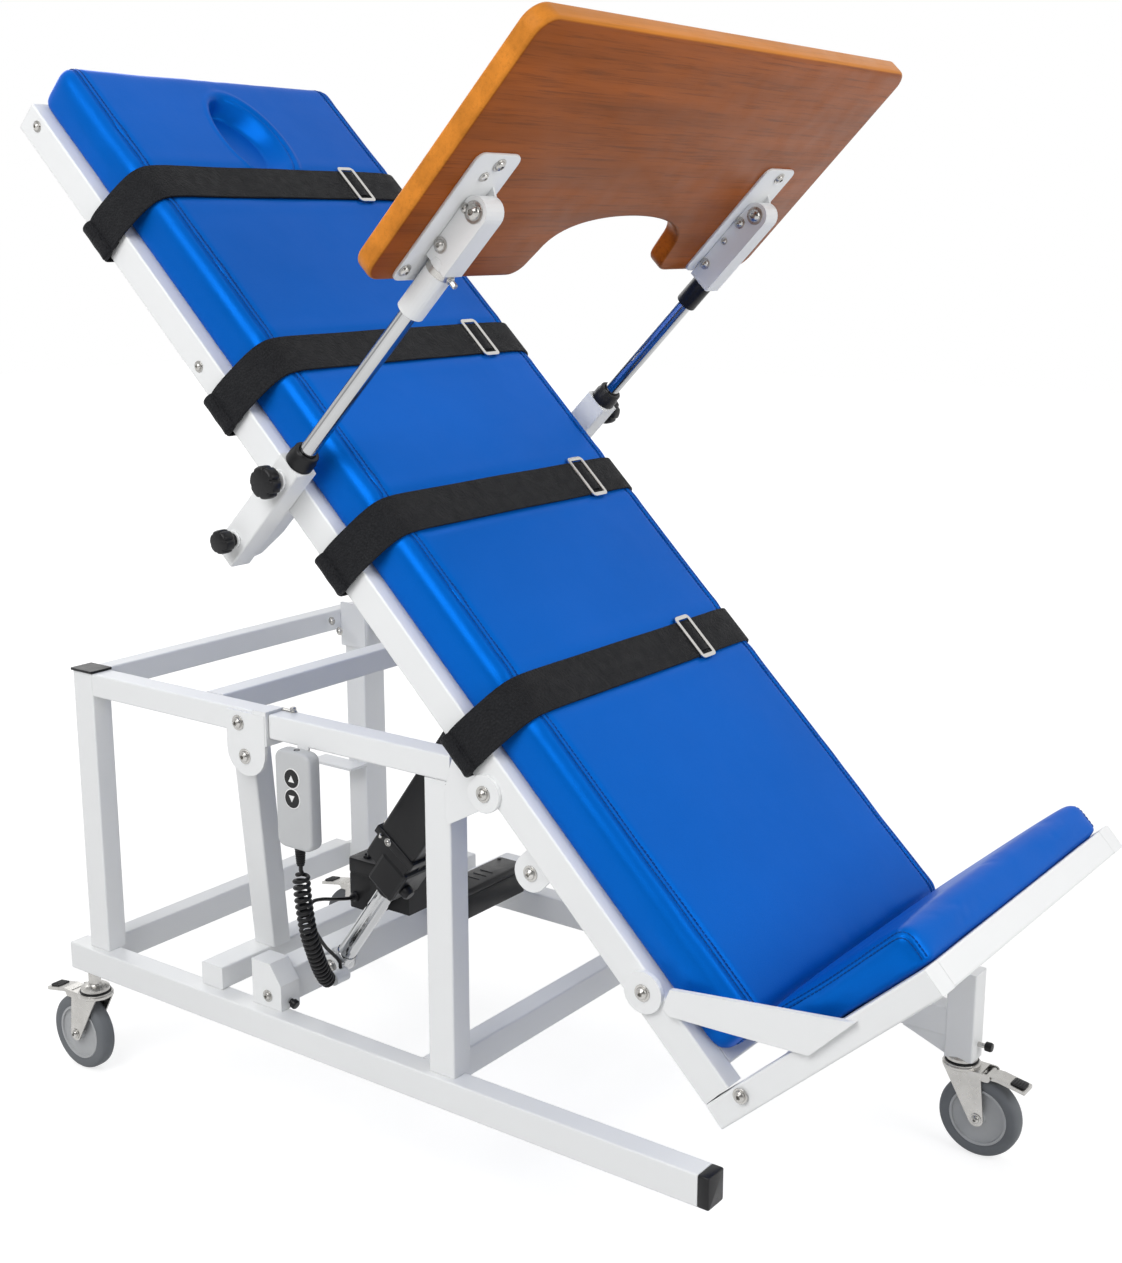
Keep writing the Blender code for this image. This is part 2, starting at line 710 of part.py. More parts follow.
def top_frame():
    near_y = (POST_INSET, POST_INSET + POST_WIDTH)
    z = (TOP_TUBE_Z, TOP_FRAME_Z)
    head_end = HEAD_POST_X + POST_LENGTH + GAP
    low, high = (head_end, near_y[0], z[0]), (TOP_RAIL_BREAK_X, near_y[1], z[1])
    head_rail = bar("near_top_rail_head", low, high, "X")
    hollow(head_rail, (head_end + TUBE_WALL, *low[1:]), (TOP_RAIL_BREAK_X + 0.010, *high[1:]), "X")
    foot_rail = bar(
        "near_top_rail_foot",
        (TOP_RAIL_BREAK_X + TOP_RAIL_BREAK, near_y[0], z[0]),
        (FOOT_POST_END, near_y[1], z[1]),
        "X",
    )
    hook = box(
        (HANDSET_X - HOOK_WIDTH / 2, POST_INSET, z[0] - HOOK_DROP),
        (HANDSET_X + HOOK_WIDTH / 2, POST_INSET + HOOK_THICKNESS, z[0] + 2 * TUBE_CORNER),
    )
    add(foot_rail, inside(foot_rail, hook))
    hollow(
        foot_rail,
        (TOP_RAIL_BREAK_X + TOP_RAIL_BREAK - 0.010, near_y[0], z[0]),
        (FOOT_POST_END - TUBE_WALL, near_y[1], z[1]),
        "X",
    )
    far_y = (BASE_WIDTH - POST_INSET - POST_WIDTH, BASE_WIDTH - POST_INSET)
    far_start = FAR_HEAD_POST_X + POST_LENGTH + GAP
    bar("far_top_rail", (far_start, far_y[0], z[0]), (FOOT_POST_END, far_y[1], z[1]), "X")
    bar(
        "upper_head_crossbar",
        (HEAD_POST_X, near_y[1] + GAP, z[0]),
        (FAR_HEAD_POST_X - 0.004 - GAP, FAR_POST_FRONT + FAR_POST_WIDTH, z[1]),
        "Y",
    )
    bar(
        "upper_mid_crossbar",
        (MID_CROSSBAR_X, near_y[1] + GAP, z[0]),
        (MID_CROSSBAR_X + RAIL_WIDTH, far_y[0] - GAP, z[1]),
        "Y",
    )


def lower_crossbars():
    y = (RAIL_WIDTH + GAP, FAR_RAIL_Y - GAP)
    z = (RAIL_BOTTOM, RAIL_TOP)
    head_x = LOWER_HEAD_CROSSBAR_X
    bar("lower_head_crossbar", (head_x, y[0], z[0]), (head_x + RAIL_WIDTH, y[1], z[1]), "Y")
    foot_x = LOWER_FOOT_CROSSBAR_X
    bar("lower_foot_crossbar", (foot_x, y[0], z[0]), (foot_x + RAIL_WIDTH, y[1], z[1]), "Y")


def strut_and_hook_plate():
    """The slanted strut is a leaning prism with level ends, and its hook plate covers the rail's side."""
    low_z = RAIL_TOP + GAP
    crossbar_top = low_z + STRUT_CROSSBAR_DEPTH
    bar(
        "strut_crossbar",
        (STRUT_CROSSBAR_X, CROSSBAR_INSET, low_z),
        (STRUT_CROSSBAR_X + POST_LENGTH, BASE_WIDTH - CROSSBAR_INSET, crossbar_top),
        "Y",
    )
    foot_z = crossbar_top + GAP
    head_z = TOP_TUBE_Z - GAP
    height = head_z - foot_z
    plate_y = (POST_INSET - GAP - PLATE_THICKNESS, POST_INSET - GAP)
    strut_y = plate_y[1] - 0.0005 + STRUT_DEPTH / 2
    shape = tube((STRUT_WIDTH, STRUT_DEPTH, height), "Z")
    lean = Matrix.Identity(4)
    lean[0][2] = STRUT_LEAN_X / height
    lean[1][2] = -STRUT_LEAN_Y / height
    shape.transform(lean)
    middle = Vector(
        (STRUT_TOP_X - STRUT_LEAN_X / 2, strut_y + STRUT_LEAN_Y / 2, (foot_z + head_z) / 2)
    )
    strut = node("slanted_strut", shape, WHITE, ROOT, middle)
    radius = HOOK_PLATE_WIDTH / 2
    plate_x = STRUT_TOP_X + 0.016
    plate_top = TOP_FRAME_Z - TUBE_CORNER
    bottom_arc = arc((plate_x, plate_top - HOOK_PLATE_DROP + radius), radius, 0, -180, 12)
    outline = [(plate_x - radius, plate_top), (plate_x + radius, plate_top)] + bottom_arc
    clip_x = (TOP_RAIL_BREAK_X + 0.002, TOP_RAIL_BREAK_X + TOP_RAIL_BREAK - 0.002)
    clip = box(
        (clip_x[0], plate_y[0] + 0.001, TOP_TUBE_Z - 0.012),
        (clip_x[1], plate_y[1] + RAIL_WIDTH - CLIP_SHORT, TOP_FRAME_Z + CLIP_PROUD),
    )
    add(strut, inside(strut, prism([outline], *plate_y, "XZ")), inside(strut, clip))


def actuator_crossbar():
    low_z = RAIL_TOP + GAP
    face_x = ACTUATOR_CROSSBAR_X + POST_LENGTH
    beam = bar(
        "actuator_crossbar",
        (ACTUATOR_CROSSBAR_X, CROSSBAR_INSET + 0.004, low_z),
        (face_x, BASE_WIDTH - CROSSBAR_INSET, low_z + ACTUATOR_CROSSBAR_DEPTH),
        "Y",
    )
    block_x = (ACTUATOR_CROSSBAR_X - 0.003, ACTUATOR_CROSSBAR_X - 0.003 + END_BLOCK_LENGTH)
    block_top = low_z + END_BLOCK_HEIGHT
    end_block = prism(
        [[
            (block_x[0], low_z),
            (block_x[1], low_z),
            (block_x[1], block_top - 1.4 * END_BLOCK_CHAMFER),
            (block_x[1] - END_BLOCK_CHAMFER, block_top),
            (block_x[0], block_top),
        ]],
        CROSSBAR_INSET - 0.001,
        CROSSBAR_INSET - 0.001 + END_BLOCK_WIDTH,
        "XZ",
    )
    half = EYE_WIDTH / 2 + SLIDE_GAP
    shapes = [end_block]
    for side in (-1, 1):
        inner = ACTUATOR_Y + side * half
        outer = inner + side * EAR_THICKNESS
        ear = [(face_x - 0.002, low_z + TUBE_CORNER)]
        ear += arc((ACTUATOR_FOOT_X, ACTUATOR_FOOT_Z), EAR_RADIUS, -80, 100, 12)
        ear += [(face_x - 0.002, low_z + ACTUATOR_CROSSBAR_DEPTH - TUBE_CORNER)]
        shapes.append(prism([ear], min(inner, outer), max(inner, outer), "XZ"))
    near_ear = NEAR_EAR_Y
    shapes.append(
        cylinder(
            PIN_RADIUS,
            (ACTUATOR_FOOT_X, near_ear + 0.001, ACTUATOR_FOOT_Z),
            (ACTUATOR_FOOT_X, 2 * ACTUATOR_Y - near_ear - 0.001, ACTUATOR_FOOT_Z),
        )
    )
    lobe = [(ACTUATOR_FOOT_X, SOCKET_Z - SOCKET_RADIUS)]
    lobe += arc((SOCKET_X, SOCKET_Z), SOCKET_RADIUS, -90, 90, 12)
    lobe += [(ACTUATOR_FOOT_X, SOCKET_Z + SOCKET_RADIUS)]
    shapes.append(prism([lobe], near_ear, near_ear + EAR_THICKNESS, "XZ"))
    shapes.append(
        cylinder(
            SOCKET_RADIUS,
            (SOCKET_X, near_ear + EAR_THICKNESS / 2, SOCKET_Z),
            (SOCKET_X, SOCKET_FACE_Y, SOCKET_Z),
            CAP_SEGMENTS,
        )
    )
    add(beam, *[inside(beam, shape) for shape in shapes])


# Casters

def caster(name, x, y, turn, stem_top):
    """A swivel caster: its frame stands on the swivel axis at the floor, with the wheel trailing towards -x."""
    swivel = empty(f"{name}_swivel_axis", (x, y, 0), ROOT, turn, "Z")
    axle = empty(f"{name}_axle", (-CASTER_TRAIL, 0, WHEEL_RADIUS), swivel)
    pedal_axis = empty(f"{name}_pedal_axis", (PEDAL_PIVOT_X, 0, PEDAL_PIVOT_Z), swivel)
    outer = FORK_INNER / 2 + FORK_PLATE
    bridge_low = FORK_TOP - FORK_PLATE
    fork = node(
        f"{name}_fork",
        turned(
            [
                (0, stem_top),
                (STEM_RADIUS, stem_top),
                (STEM_RADIUS, FORK_TOP + FORK_COLLAR),
                (FORK_COLLAR_RADIUS - 0.004, FORK_TOP + FORK_COLLAR),
                (FORK_COLLAR_RADIUS, FORK_TOP + FORK_COLLAR - 0.004),
                (FORK_COLLAR_RADIUS + 0.004, bridge_low),
                (0, bridge_low),
            ]
        ),
        STEEL,
        swivel,
    )
    cheek_x = (-CASTER_TRAIL - 0.004, FORK_COLLAR_RADIUS)
    bridge = box((cheek_x[0], -outer, bridge_low), (cheek_x[1], outer, bridge_low + FORK_PLATE))
    cheek = [(cheek_x[1], bridge_low + FORK_PLATE / 2), (cheek_x[0], bridge_low + FORK_PLATE / 2)]
    cheek += arc((-CASTER_TRAIL, WHEEL_RADIUS), FORK_CHEEK_RADIUS, 190, 330, 10)
    axle_pin = cylinder(
        AXLE_RADIUS, (-CASTER_TRAIL, -outer - 0.003, WHEEL_RADIUS), (-CASTER_TRAIL, outer + 0.003, WHEEL_RADIUS)
    )
    cheeks = [
        prism([cheek], min(side * outer, side * FORK_INNER / 2), max(side * outer, side * FORK_INNER / 2), "XZ")
        for side in (-1, 1)
    ]
    lug = [(cheek_x[0] + 0.006, PEDAL_PIVOT_Z - PEDAL_LUG), (cheek_x[0] + 0.006, FORK_TOP), (cheek_x[0], FORK_TOP)]
    lug += arc((PEDAL_PIVOT_X, PEDAL_PIVOT_Z), PEDAL_LUG, 100, 270, 8)
    lugs = [
        prism([lug], min(side * outer, side * FORK_INNER / 2), max(side * outer, side * FORK_INNER / 2), "XZ")
        for side in (-1, 1)
    ]
    pin_reach = outer - FORK_PLATE / 4
    pedal_pin = cylinder(
        PEDAL_PIN, (PEDAL_PIVOT_X, -pin_reach, PEDAL_PIVOT_Z), (PEDAL_PIVOT_X, pin_reach, PEDAL_PIVOT_Z), 16
    )
    add(fork, bridge, *cheeks, axle_pin, *lugs, pedal_pin)
    half = WHEEL_WIDTH / 2
    hub = half - HUB_RECESS
    bore = AXLE_RADIUS + BORE_GAP
    rim = WHEEL_RADIUS * 0.70
    node(
        f"{name}_wheel",
        turned(
            [
                (bore, half - 0.001),
                (0.014, half - 0.001),
                (0.017, hub),
                (rim, hub),
                (rim + 0.004, half),
                (WHEEL_RADIUS - TREAD_ROUNDING, half),
                (WHEEL_RADIUS - 0.0018, half - TREAD_ROUNDING * 0.6),
                (WHEEL_RADIUS, half - 1.6 * TREAD_ROUNDING),
                (WHEEL_RADIUS, -half + 1.6 * TREAD_ROUNDING),
                (WHEEL_RADIUS - 0.0018, -half + TREAD_ROUNDING * 0.6),
                (WHEEL_RADIUS - TREAD_ROUNDING, -half),
                (rim + 0.004, -half),
                (rim, -hub),
                (0.017, -hub),
                (0.014, -half + 0.001),
                (bore, -half + 0.001),
                (bore, half - 0.001),
            ],
            "Y",
            28,
        ),
        RUBBER,
        axle,
    )
    half_pedal = PEDAL_THICKNESS / 2
    tail_drop = PEDAL_LENGTH * math.tan(math.radians(PEDAL_DROP_DEG))
    side_view = [(PEDAL_HEEL, -half_pedal), (PEDAL_HEEL, half_pedal), (-PEDAL_FLAT, half_pedal)]
    side_view += [
        (-PEDAL_LENGTH, half_pedal - tail_drop),
        (-PEDAL_LENGTH, -half_pedal - tail_drop),
        (-PEDAL_FLAT, -half_pedal),
    ]
    pedal = node(
        f"{name}_brake_pedal",
        prism([side_view], -PEDAL_WIDTH / 2, PEDAL_WIDTH / 2, "XZ"),
        STEEL,
        pedal_axis,
    )
    add(pedal, cylinder(PEDAL_KNUCKLE, (0, -PEDAL_WIDTH / 2, 0), (0, PEDAL_WIDTH / 2, 0)))
    cut(pedal, cylinder(PEDAL_PIN + BORE_GAP, (0, -PEDAL_WIDTH, 0), (0, PEDAL_WIDTH, 0), 16))


def casters():
    centre_near = RAIL_WIDTH / 2
    centre_far = BASE_WIDTH - RAIL_WIDTH / 2
    under_rail = RAIL_BOTTOM - GAP
    caster("near_head_caster", HEAD_CASTER_X, centre_near, 0, under_rail)
    caster("far_head_caster", FAR_HEAD_CASTER_X, centre_far, 0, under_rail)
    caster("far_foot_caster", FOOT_CASTER_X, centre_far, math.pi, LEG_BOTTOM + LEG_STEM)


# Tilting top

def side_rails():
    x = (-HEAD_REACH, FOOT_REACH)
    for name, y in (("near_side_rail", TOP_NEAR_Y), ("far_side_rail", TOP_FAR_Y - SIDE_RAIL_WIDTH)):
        rail = bar(name, (x[0], y, 0), (x[1], y + SIDE_RAIL_WIDTH, SIDE_RAIL_DEPTH), "X", TOP)
        wall = TUBE_WALL
        shapes = []
        if name == "near_side_rail":
            faces = (y - PLATE_THICKNESS, y + wall / 2)
            shapes.append(prism([arc((0, 0), LUG_RADIUS, 0, 342, 19)], *faces, "XZ"))
            boss_centre = (BOSS_X, SIDE_RAIL_DEPTH / 2 + 0.004)
            shapes.append(prism([arc(boss_centre, BOSS_RADIUS, 0, 342, 19)], *faces, "XZ"))
            link = arc((LINK_LUG_X, -LINK_LUG_DROP), LUG_RADIUS, -180, 0, 12)
            link += [(LINK_LUG_X + LUG_RADIUS, 0.012), (LINK_LUG_X - LUG_RADIUS, 0.012)]
            inner = y + SIDE_RAIL_WIDTH
            shapes.append(prism([link], inner - wall / 2, inner + 0.0015, "XZ"))
        add(rail, *[inside(rail, shape) for shape in shapes])
        hollow(rail, (x[0] + TUBE_WALL, y, 0), (x[1] + 0.010, y + SIDE_RAIL_WIDTH, SIDE_RAIL_DEPTH), "X")
        pin_bore = cylinder(
            PIN_RADIUS + BORE_GAP, (0, y - 0.020, 0), (0, y + SIDE_RAIL_WIDTH + 0.010, 0)
        )
        cut(rail, inside(rail, pin_bore))


def cross_members():
    y = (TOP_INNER_NEAR + GAP, TOP_INNER_FAR - GAP)
    z = (MEMBER_Z, MEMBER_Z + CROSS_MEMBER_DEPTH)
    members = (
        ("head_cross_member", HEAD_MEMBER_X),
        ("actuator_cross_member", ACTUATOR_HEAD_X),
        ("foot_cross_member", FOOT_REACH - FOOT_MEMBER_BACK),
    )
    for name, centre in members:
        low = centre - CROSS_MEMBER_WIDTH / 2
        member = bar(name, (low, y[0], z[0]), (low + CROSS_MEMBER_WIDTH, y[1], z[1]), "Y", TOP)
        if name != "actuator_cross_member":
            continue
        half = EYE_WIDTH / 2 + SLIDE_GAP
        radius = EAR_RADIUS + 0.004
        outline = [(centre + radius, z[0] + 0.004), (centre - radius, z[0] + 0.004)]
        outline += arc((centre, -ACTUATOR_HEAD_DROP), radius, 180, 360, 12)
        ears = []
        for side in (-1, 1):
            inner = ACTUATOR_Y + side * half
            outer = inner + side * EAR_THICKNESS
            ears.append(prism([outline], min(inner, outer), max(inner, outer), "XZ"))
        add(member, *[inside(member, ear) for ear in ears])


def cushion_cage(size, cuts, crown, pinch, rounding):
    """A block with support loops a rounding from each edge, a crowned top and drawn-in sides."""
    half = Vector(size) / 2
    bm = bmesh.new()
    bmesh.ops.create_cube(bm, size=1.0)
    bmesh.ops.scale(bm, vec=size, verts=bm.verts)
    for axis in range(3):
        normal = Vector([float(axis == other) for other in range(3)])
        edge = half[axis] - rounding[axis]
        places = np.linspace(-edge, edge, cuts[axis] + 2) if edge > 0 else [0.0]
        for place in places:
            everything = bm.verts[:] + bm.edges[:] + bm.faces[:]
            bmesh.ops.bisect_plane(bm, geom=everything, plane_co=normal * place, plane_no=normal)
    for vert in bm.verts:
        across = [min(1.0, abs(vert.co[axis]) / half[axis]) for axis in range(3)]
        dome = (1 - across[0] ** 4) * (1 - across[1] ** 4)
        if vert.co.z > 0:
            vert.co.z += crown * dome * across[2]
        waist = 1 - across[2] ** 2
        for axis in (0, 1):
            if across[axis] > 0.999:
                middle = 1 - across[1 - axis] ** 2
                vert.co[axis] -= math.copysign(pinch * (0.4 + 0.6 * middle) * waist, vert.co[axis])
    return mesh_of(bm)


def soften(obj, levels):
    smooth = obj.modifiers.new("soften", "SUBSURF")
    smooth.levels = levels
    smooth.render_levels = levels


def mattress():
    size = (
        MATTRESS_HEAD + MATTRESS_FOOT,
        TOP_WIDTH - 2 * MATTRESS_INSET,
        MATTRESS_THICKNESS,
    )
    centre = Vector(
        ((MATTRESS_FOOT - MATTRESS_HEAD) / 2, TOP_NEAR_Y + TOP_WIDTH / 2, MATTRESS_Z + MATTRESS_THICKNESS / 2)
    )
    rounding = (MATTRESS_ROUNDING, MATTRESS_ROUNDING, MATTRESS_ROUNDING * 0.75)
    pad = node(
        "mattress", cushion_cage(size, (4, 2, 0), MATTRESS_CROWN, 0.002, rounding), BLUE, TOP, centre, 60
    )
    soften(pad, 1)
    bm = bmesh.new()
    bmesh.ops.create_uvsphere(bm, u_segments=24, v_segments=12, radius=1.0)
    scale = (FACE_RECESS_LENGTH / 2, FACE_RECESS_WIDTH / 2, FACE_RECESS_DEPTH)
    bmesh.ops.scale(bm, vec=scale, verts=bm.verts)
    recess = moved(mesh_of(bm), (FACE_RECESS_X, centre.y, MATTRESS_TOP))
    cut(pad, inside(pad, recess))


def footplate():
    """The footplate has its own frame on the foot end of the rails: x points out of its back, z away from the top."""
    for name, y in (("near_foot_arm", TOP_NEAR_Y), ("far_foot_arm", TOP_INNER_FAR)):
        bar(name, (0, y, ARM_START), (ARM_DEPTH, y + SIDE_RAIL_WIDTH, FOOTPLATE_REACH), "Z", FOOTPLATE)
    y = (TOP_INNER_NEAR + GAP, TOP_INNER_FAR - GAP)
    tube_start = FOOTPLATE_REACH - END_TUBE_DEPTH
    board = bar("foot_board", (0, y[0], tube_start), (ARM_DEPTH, y[1], FOOTPLATE_REACH), "Y", FOOTPLATE)
    sheet = box((0, y[0], FOOT_BOARD_START), (FOOT_BOARD_THICKNESS, y[1], tube_start + 2 * TUBE_CORNER))
    add(board, inside(board, sheet))
    face = TOP_NEAR_Y - GAP
    arm_x = FOOT_REACH + BRACE_ARM_REACH
    tip_x = FOOT_REACH - BRACE_TIP_BACK
    centre = Vector((arm_x, face - BRACE_THICKNESS / 2, BRACE_ARM_Z))
    outline = [
        (tip_x, BRACE_TIP_Z),
        (tip_x + BRACE_TIP_WIDTH, BRACE_TIP_Z),
        (arm_x, BRACE_ARM_Z),
        (arm_x, BRACE_ARM_Z + BRACE_ARM_WIDTH),
        (FOOT_REACH - BRACE_SHOULDER_BACK, BRACE_SHOULDER_Z),
    ]
    brace = moved(prism([outline], face - BRACE_THICKNESS, face, "XZ"), -centre)
    node("near_foot_brace", brace, WHITE, TOP, centre)
    cushion_y = (TOP_NEAR_Y + MATTRESS_INSET, TOP_FAR_Y - MATTRESS_INSET)
    size = (FOOTPLATE_REACH - FOOT_CUSHION_START, cushion_y[1] - cushion_y[0], FOOT_CUSHION_THICKNESS)
    middle = Vector(
        (
            -GAP - FOOT_CUSHION_THICKNESS / 2,
            (cushion_y[0] + cushion_y[1]) / 2,
            (FOOT_CUSHION_START + FOOTPLATE_REACH) / 2,
        )
    )
    cage = cushion_cage(size, (1, 2, 0), FOOT_CUSHION_CROWN, 0.004, (0.018, 0.018, 0.014))
    cushion = node("footplate_cushion", moved(cage, turn=math.radians(-90)), BLUE, FOOTPLATE, middle, 60)
    soften(cushion, 1)


def strap_outline(outside):
    """The strap's line across the top in Y and Z, from under the near rail to under the far rail."""
    near = TOP_NEAR_Y - outside
    far = TOP_FAR_Y + outside
    cushion = TOP_NEAR_Y + MATTRESS_INSET
    top = MATTRESS_TOP + MATTRESS_CROWN
    half = [
        (near + 0.9 * SIDE_RAIL_WIDTH, -outside),
        (near, -outside),
        (near, SIDE_RAIL_DEPTH),
        (cushion - outside, SIDE_RAIL_DEPTH + 2 * MATTRESS_INSET),
        (cushion - outside, top - MATTRESS_ROUNDING / 2),
        (cushion - 0.4 * outside, top - MATTRESS_ROUNDING / 8),
        (cushion + MATTRESS_ROUNDING / 8, top + 0.6 * outside),
        (cushion + MATTRESS_ROUNDING / 2, top + outside),
    ]
    return half + [(near + far - y, z) for y, z in reversed(half)]


def straps():
    for number, (x, slider_y) in enumerate(zip(STRAP_X, SLIDER_Y), 1):
        inner = strap_outline(STRAP_GAP)
        outer = strap_outline(STRAP_GAP + STRAP_THICKNESS)
        band = prism([inner + outer[::-1]], -STRAP_WIDTH / 2, STRAP_WIDTH / 2, "YZ")
        strap = node(f"strap_{number}", band, WEBBING, TOP, (x, 0, 0))
        top = MATTRESS_TOP + MATTRESS_CROWN + STRAP_GAP
        slider = box(
            (-SLIDER_LENGTH / 2, slider_y - SLIDER_WIDTH / 2, top + STRAP_THICKNESS / 3),
            (SLIDER_LENGTH / 2, slider_y + SLIDER_WIDTH / 2, top + SLIDER_THICKNESS),
        )
        add(strap, slider)


# Desk

def desk_brackets():
    x = (BRACKET_X - BRACKET_LENGTH / 2, BRACKET_X + BRACKET_LENGTH / 2)
    near = bar(
        "near_desk_bracket",
        (x[0], TOP_NEAR_Y - GAP - BRACKET_WIDTH, BRACKET_BOTTOM),
        (x[1], TOP_NEAR_Y - GAP, NEAR_BRACKET_TOP),
        "Z",
        TOP,
    )
    fin = prism(
        [[
            (TOP_NEAR_Y - 0.002, -GAP),
            (TOP_NEAR_Y - 0.002, BRACKET_BOTTOM + 0.002),
            (TOP_NEAR_Y + 0.020, -BRACKET_FIN_DROP * 0.72),
            (TOP_INNER_NEAR - 0.001, -0.060),
            (TOP_INNER_NEAR - 0.001, -GAP),
        ]],
        x[1] - 0.010,
        x[1] - 0.010 + BRACKET_FIN,
        "YZ",
    )
    add(near, inside(near, fin))
    bore = DESK_POST_RADIUS + GAP
    near_bore = cylinder(
        bore, (BRACKET_X, NEAR_POST_Y, BRACKET_BOTTOM - 0.01), (BRACKET_X, NEAR_POST_Y, NEAR_BRACKET_TOP + 0.01)
    )
    cut(near, inside(near, near_bore))
    far = bar(
        "far_desk_bracket",
        (x[0], FAR_POST_Y - BRACKET_WIDTH / 2, BRACKET_BOTTOM),
        (x[1], FAR_POST_Y + BRACKET_WIDTH / 2, FAR_BRACKET_TOP),
        "Z",
        TOP,
    )
    spacer = box(
        (x[0] + TUBE_CORNER, TOP_FAR_Y + GAP, TUBE_CORNER),
        (x[1] - TUBE_CORNER, FAR_POST_Y - BRACKET_WIDTH / 2 + 0.003, SIDE_RAIL_DEPTH - TUBE_CORNER),
    )
    add(far, inside(far, spacer))
    far_bore = cylinder(
        bore, (BRACKET_X, FAR_POST_Y, BRACKET_BOTTOM - 0.01), (BRACKET_X, FAR_POST_Y, FAR_BRACKET_TOP + 0.01)
    )
    cut(far, inside(far, far_bore))


def knob(name, y, z, side, radius):
    """A clamp knob whose screw axis lies along Y: side is -1 where it points to the near side."""
    start = y + side * GAP
    neck = start + side * KNOB_NECK
    end = neck + side * KNOB_THICKNESS
    axis = empty(f"{name}_axis", (BRACKET_X, start, z), TOP)
    profile = [
        (0, KNOB_THICKNESS + KNOB_NECK),
        (radius - 0.004, KNOB_THICKNESS + KNOB_NECK),
        (radius, KNOB_THICKNESS + KNOB_NECK - 0.004),
        (radius, KNOB_NECK + 0.003),
        (radius - 0.004, KNOB_NECK),
        (KNOB_NECK_RADIUS, KNOB_NECK),
        (KNOB_NECK_RADIUS, 0),
        (0, 0),
    ]
    shape = turned(profile, "Y")
    if side > 0:
        shape.transform(Matrix.Rotation(math.pi, 4, "X"))
    return node(name, shape, BLACK, axis)


def knobs():
    near_face = TOP_NEAR_Y - GAP - BRACKET_WIDTH
    far_face = FAR_POST_Y + BRACKET_WIDTH / 2
    knob("near_upper_knob", near_face, NEAR_UPPER_KNOB_Z, -1, KNOB_RADIUS)
    knob("near_lower_knob", near_face, NEAR_LOWER_KNOB_Z, -1, SMALL_KNOB_RADIUS)
    knob("far_upper_knob", far_face, FAR_KNOB_Z, 1, KNOB_RADIUS)


def desk_posts():
    bore = DESK_POST_RADIUS + GAP
    for side, y, channel_bottom, sleeve_bottom, sleeve_radius in (
        ("near", NEAR_POST_Y, NEAR_CHANNEL_BOTTOM, NEAR_SLEEVE_BOTTOM, NEAR_SLEEVE_RADIUS),
        ("far", FAR_POST_Y, FAR_CHANNEL_BOTTOM, FAR_SLEEVE_BOTTOM, FAR_SLEEVE_RADIUS),
    ):
        length = DESK_POST_TOP - DESK_POST_BOTTOM
        centre = (BRACKET_X, y, (DESK_POST_TOP + DESK_POST_BOTTOM) / 2)
        node(
            f"{side}_desk_post",
            cylinder(DESK_POST_RADIUS, (0, 0, -length / 2), (0, 0, length / 2), 28),
            CHROME,
            DESK_SLIDE,
            centre,
        )
        low = channel_bottom - DESK_HINGE_Z
        half = CHANNEL_DEPTH / 2
        outline = [(-half, low), (half, low)] + arc((0, 0), half, 0, 180, 12)
        channel = node(
            f"{side}_hinge_channel",
            prism([outline], -CHANNEL_WIDTH / 2, CHANNEL_WIDTH / 2, "XZ"),
            WHITE,
            DESK_SLIDE,
            (CHANNEL_X, y, DESK_HINGE_Z),
        )
        sleeve_low = sleeve_bottom - DESK_HINGE_Z
        add(channel, cylinder(sleeve_radius, (0, 0, sleeve_low), (0, 0, low + 0.010), 28))
        post_top = DESK_POST_TOP - DESK_HINGE_Z + GAP
        cut(
            channel,
            cylinder(bore, (0, 0, sleeve_low - 0.01), (0, 0, post_top), 28),
            cylinder(
                HINGE_PIN_RADIUS + BORE_GAP,
                (0, -CHANNEL_WIDTH, 0),
                (0, CHANNEL_WIDTH, 0),
            ),
        )


def desk_outline():
    """The board in Y and Z about the hinge axis, with round corners and the belly cut-out on its low edge."""
    y = DESK_Y
    z = (DESK_LOW - DESK_HINGE_Z, DESK_HIGH - DESK_HINGE_Z)
    r = DESK_CORNER
    points = arc((y[1] - r, z[0] + r), r, -90, 0, 5)
    points += arc((y[1] - r, z[1] - r), r, 0, 90, 5)
    points += arc((y[0] + r, z[1] - r), r, 90, 180, 5)
    points += arc((y[0] + r, z[0] + r), r, 180, 270, 5)
    mouth = CUTOUT_ROUNDING
    points += arc((CUTOUT_Y - CUTOUT_HALF_WIDTH - mouth, z[0] + mouth), mouth, -90, -20, 4)
    steps = 14
    flat_power = 0.62
    for step in range(1, steps):
        angle = math.pi * step / steps
        across = -math.cos(angle) * (CUTOUT_HALF_WIDTH - 0.004)
        depth = mouth + (CUTOUT_DEPTH - mouth) * math.sin(angle) ** flat_power
        points.append((CUTOUT_Y + across, z[0] + depth))
    points += arc((CUTOUT_Y + CUTOUT_HALF_WIDTH + mouth, z[0] + mouth), mouth, 200, 270, 4)
    return points


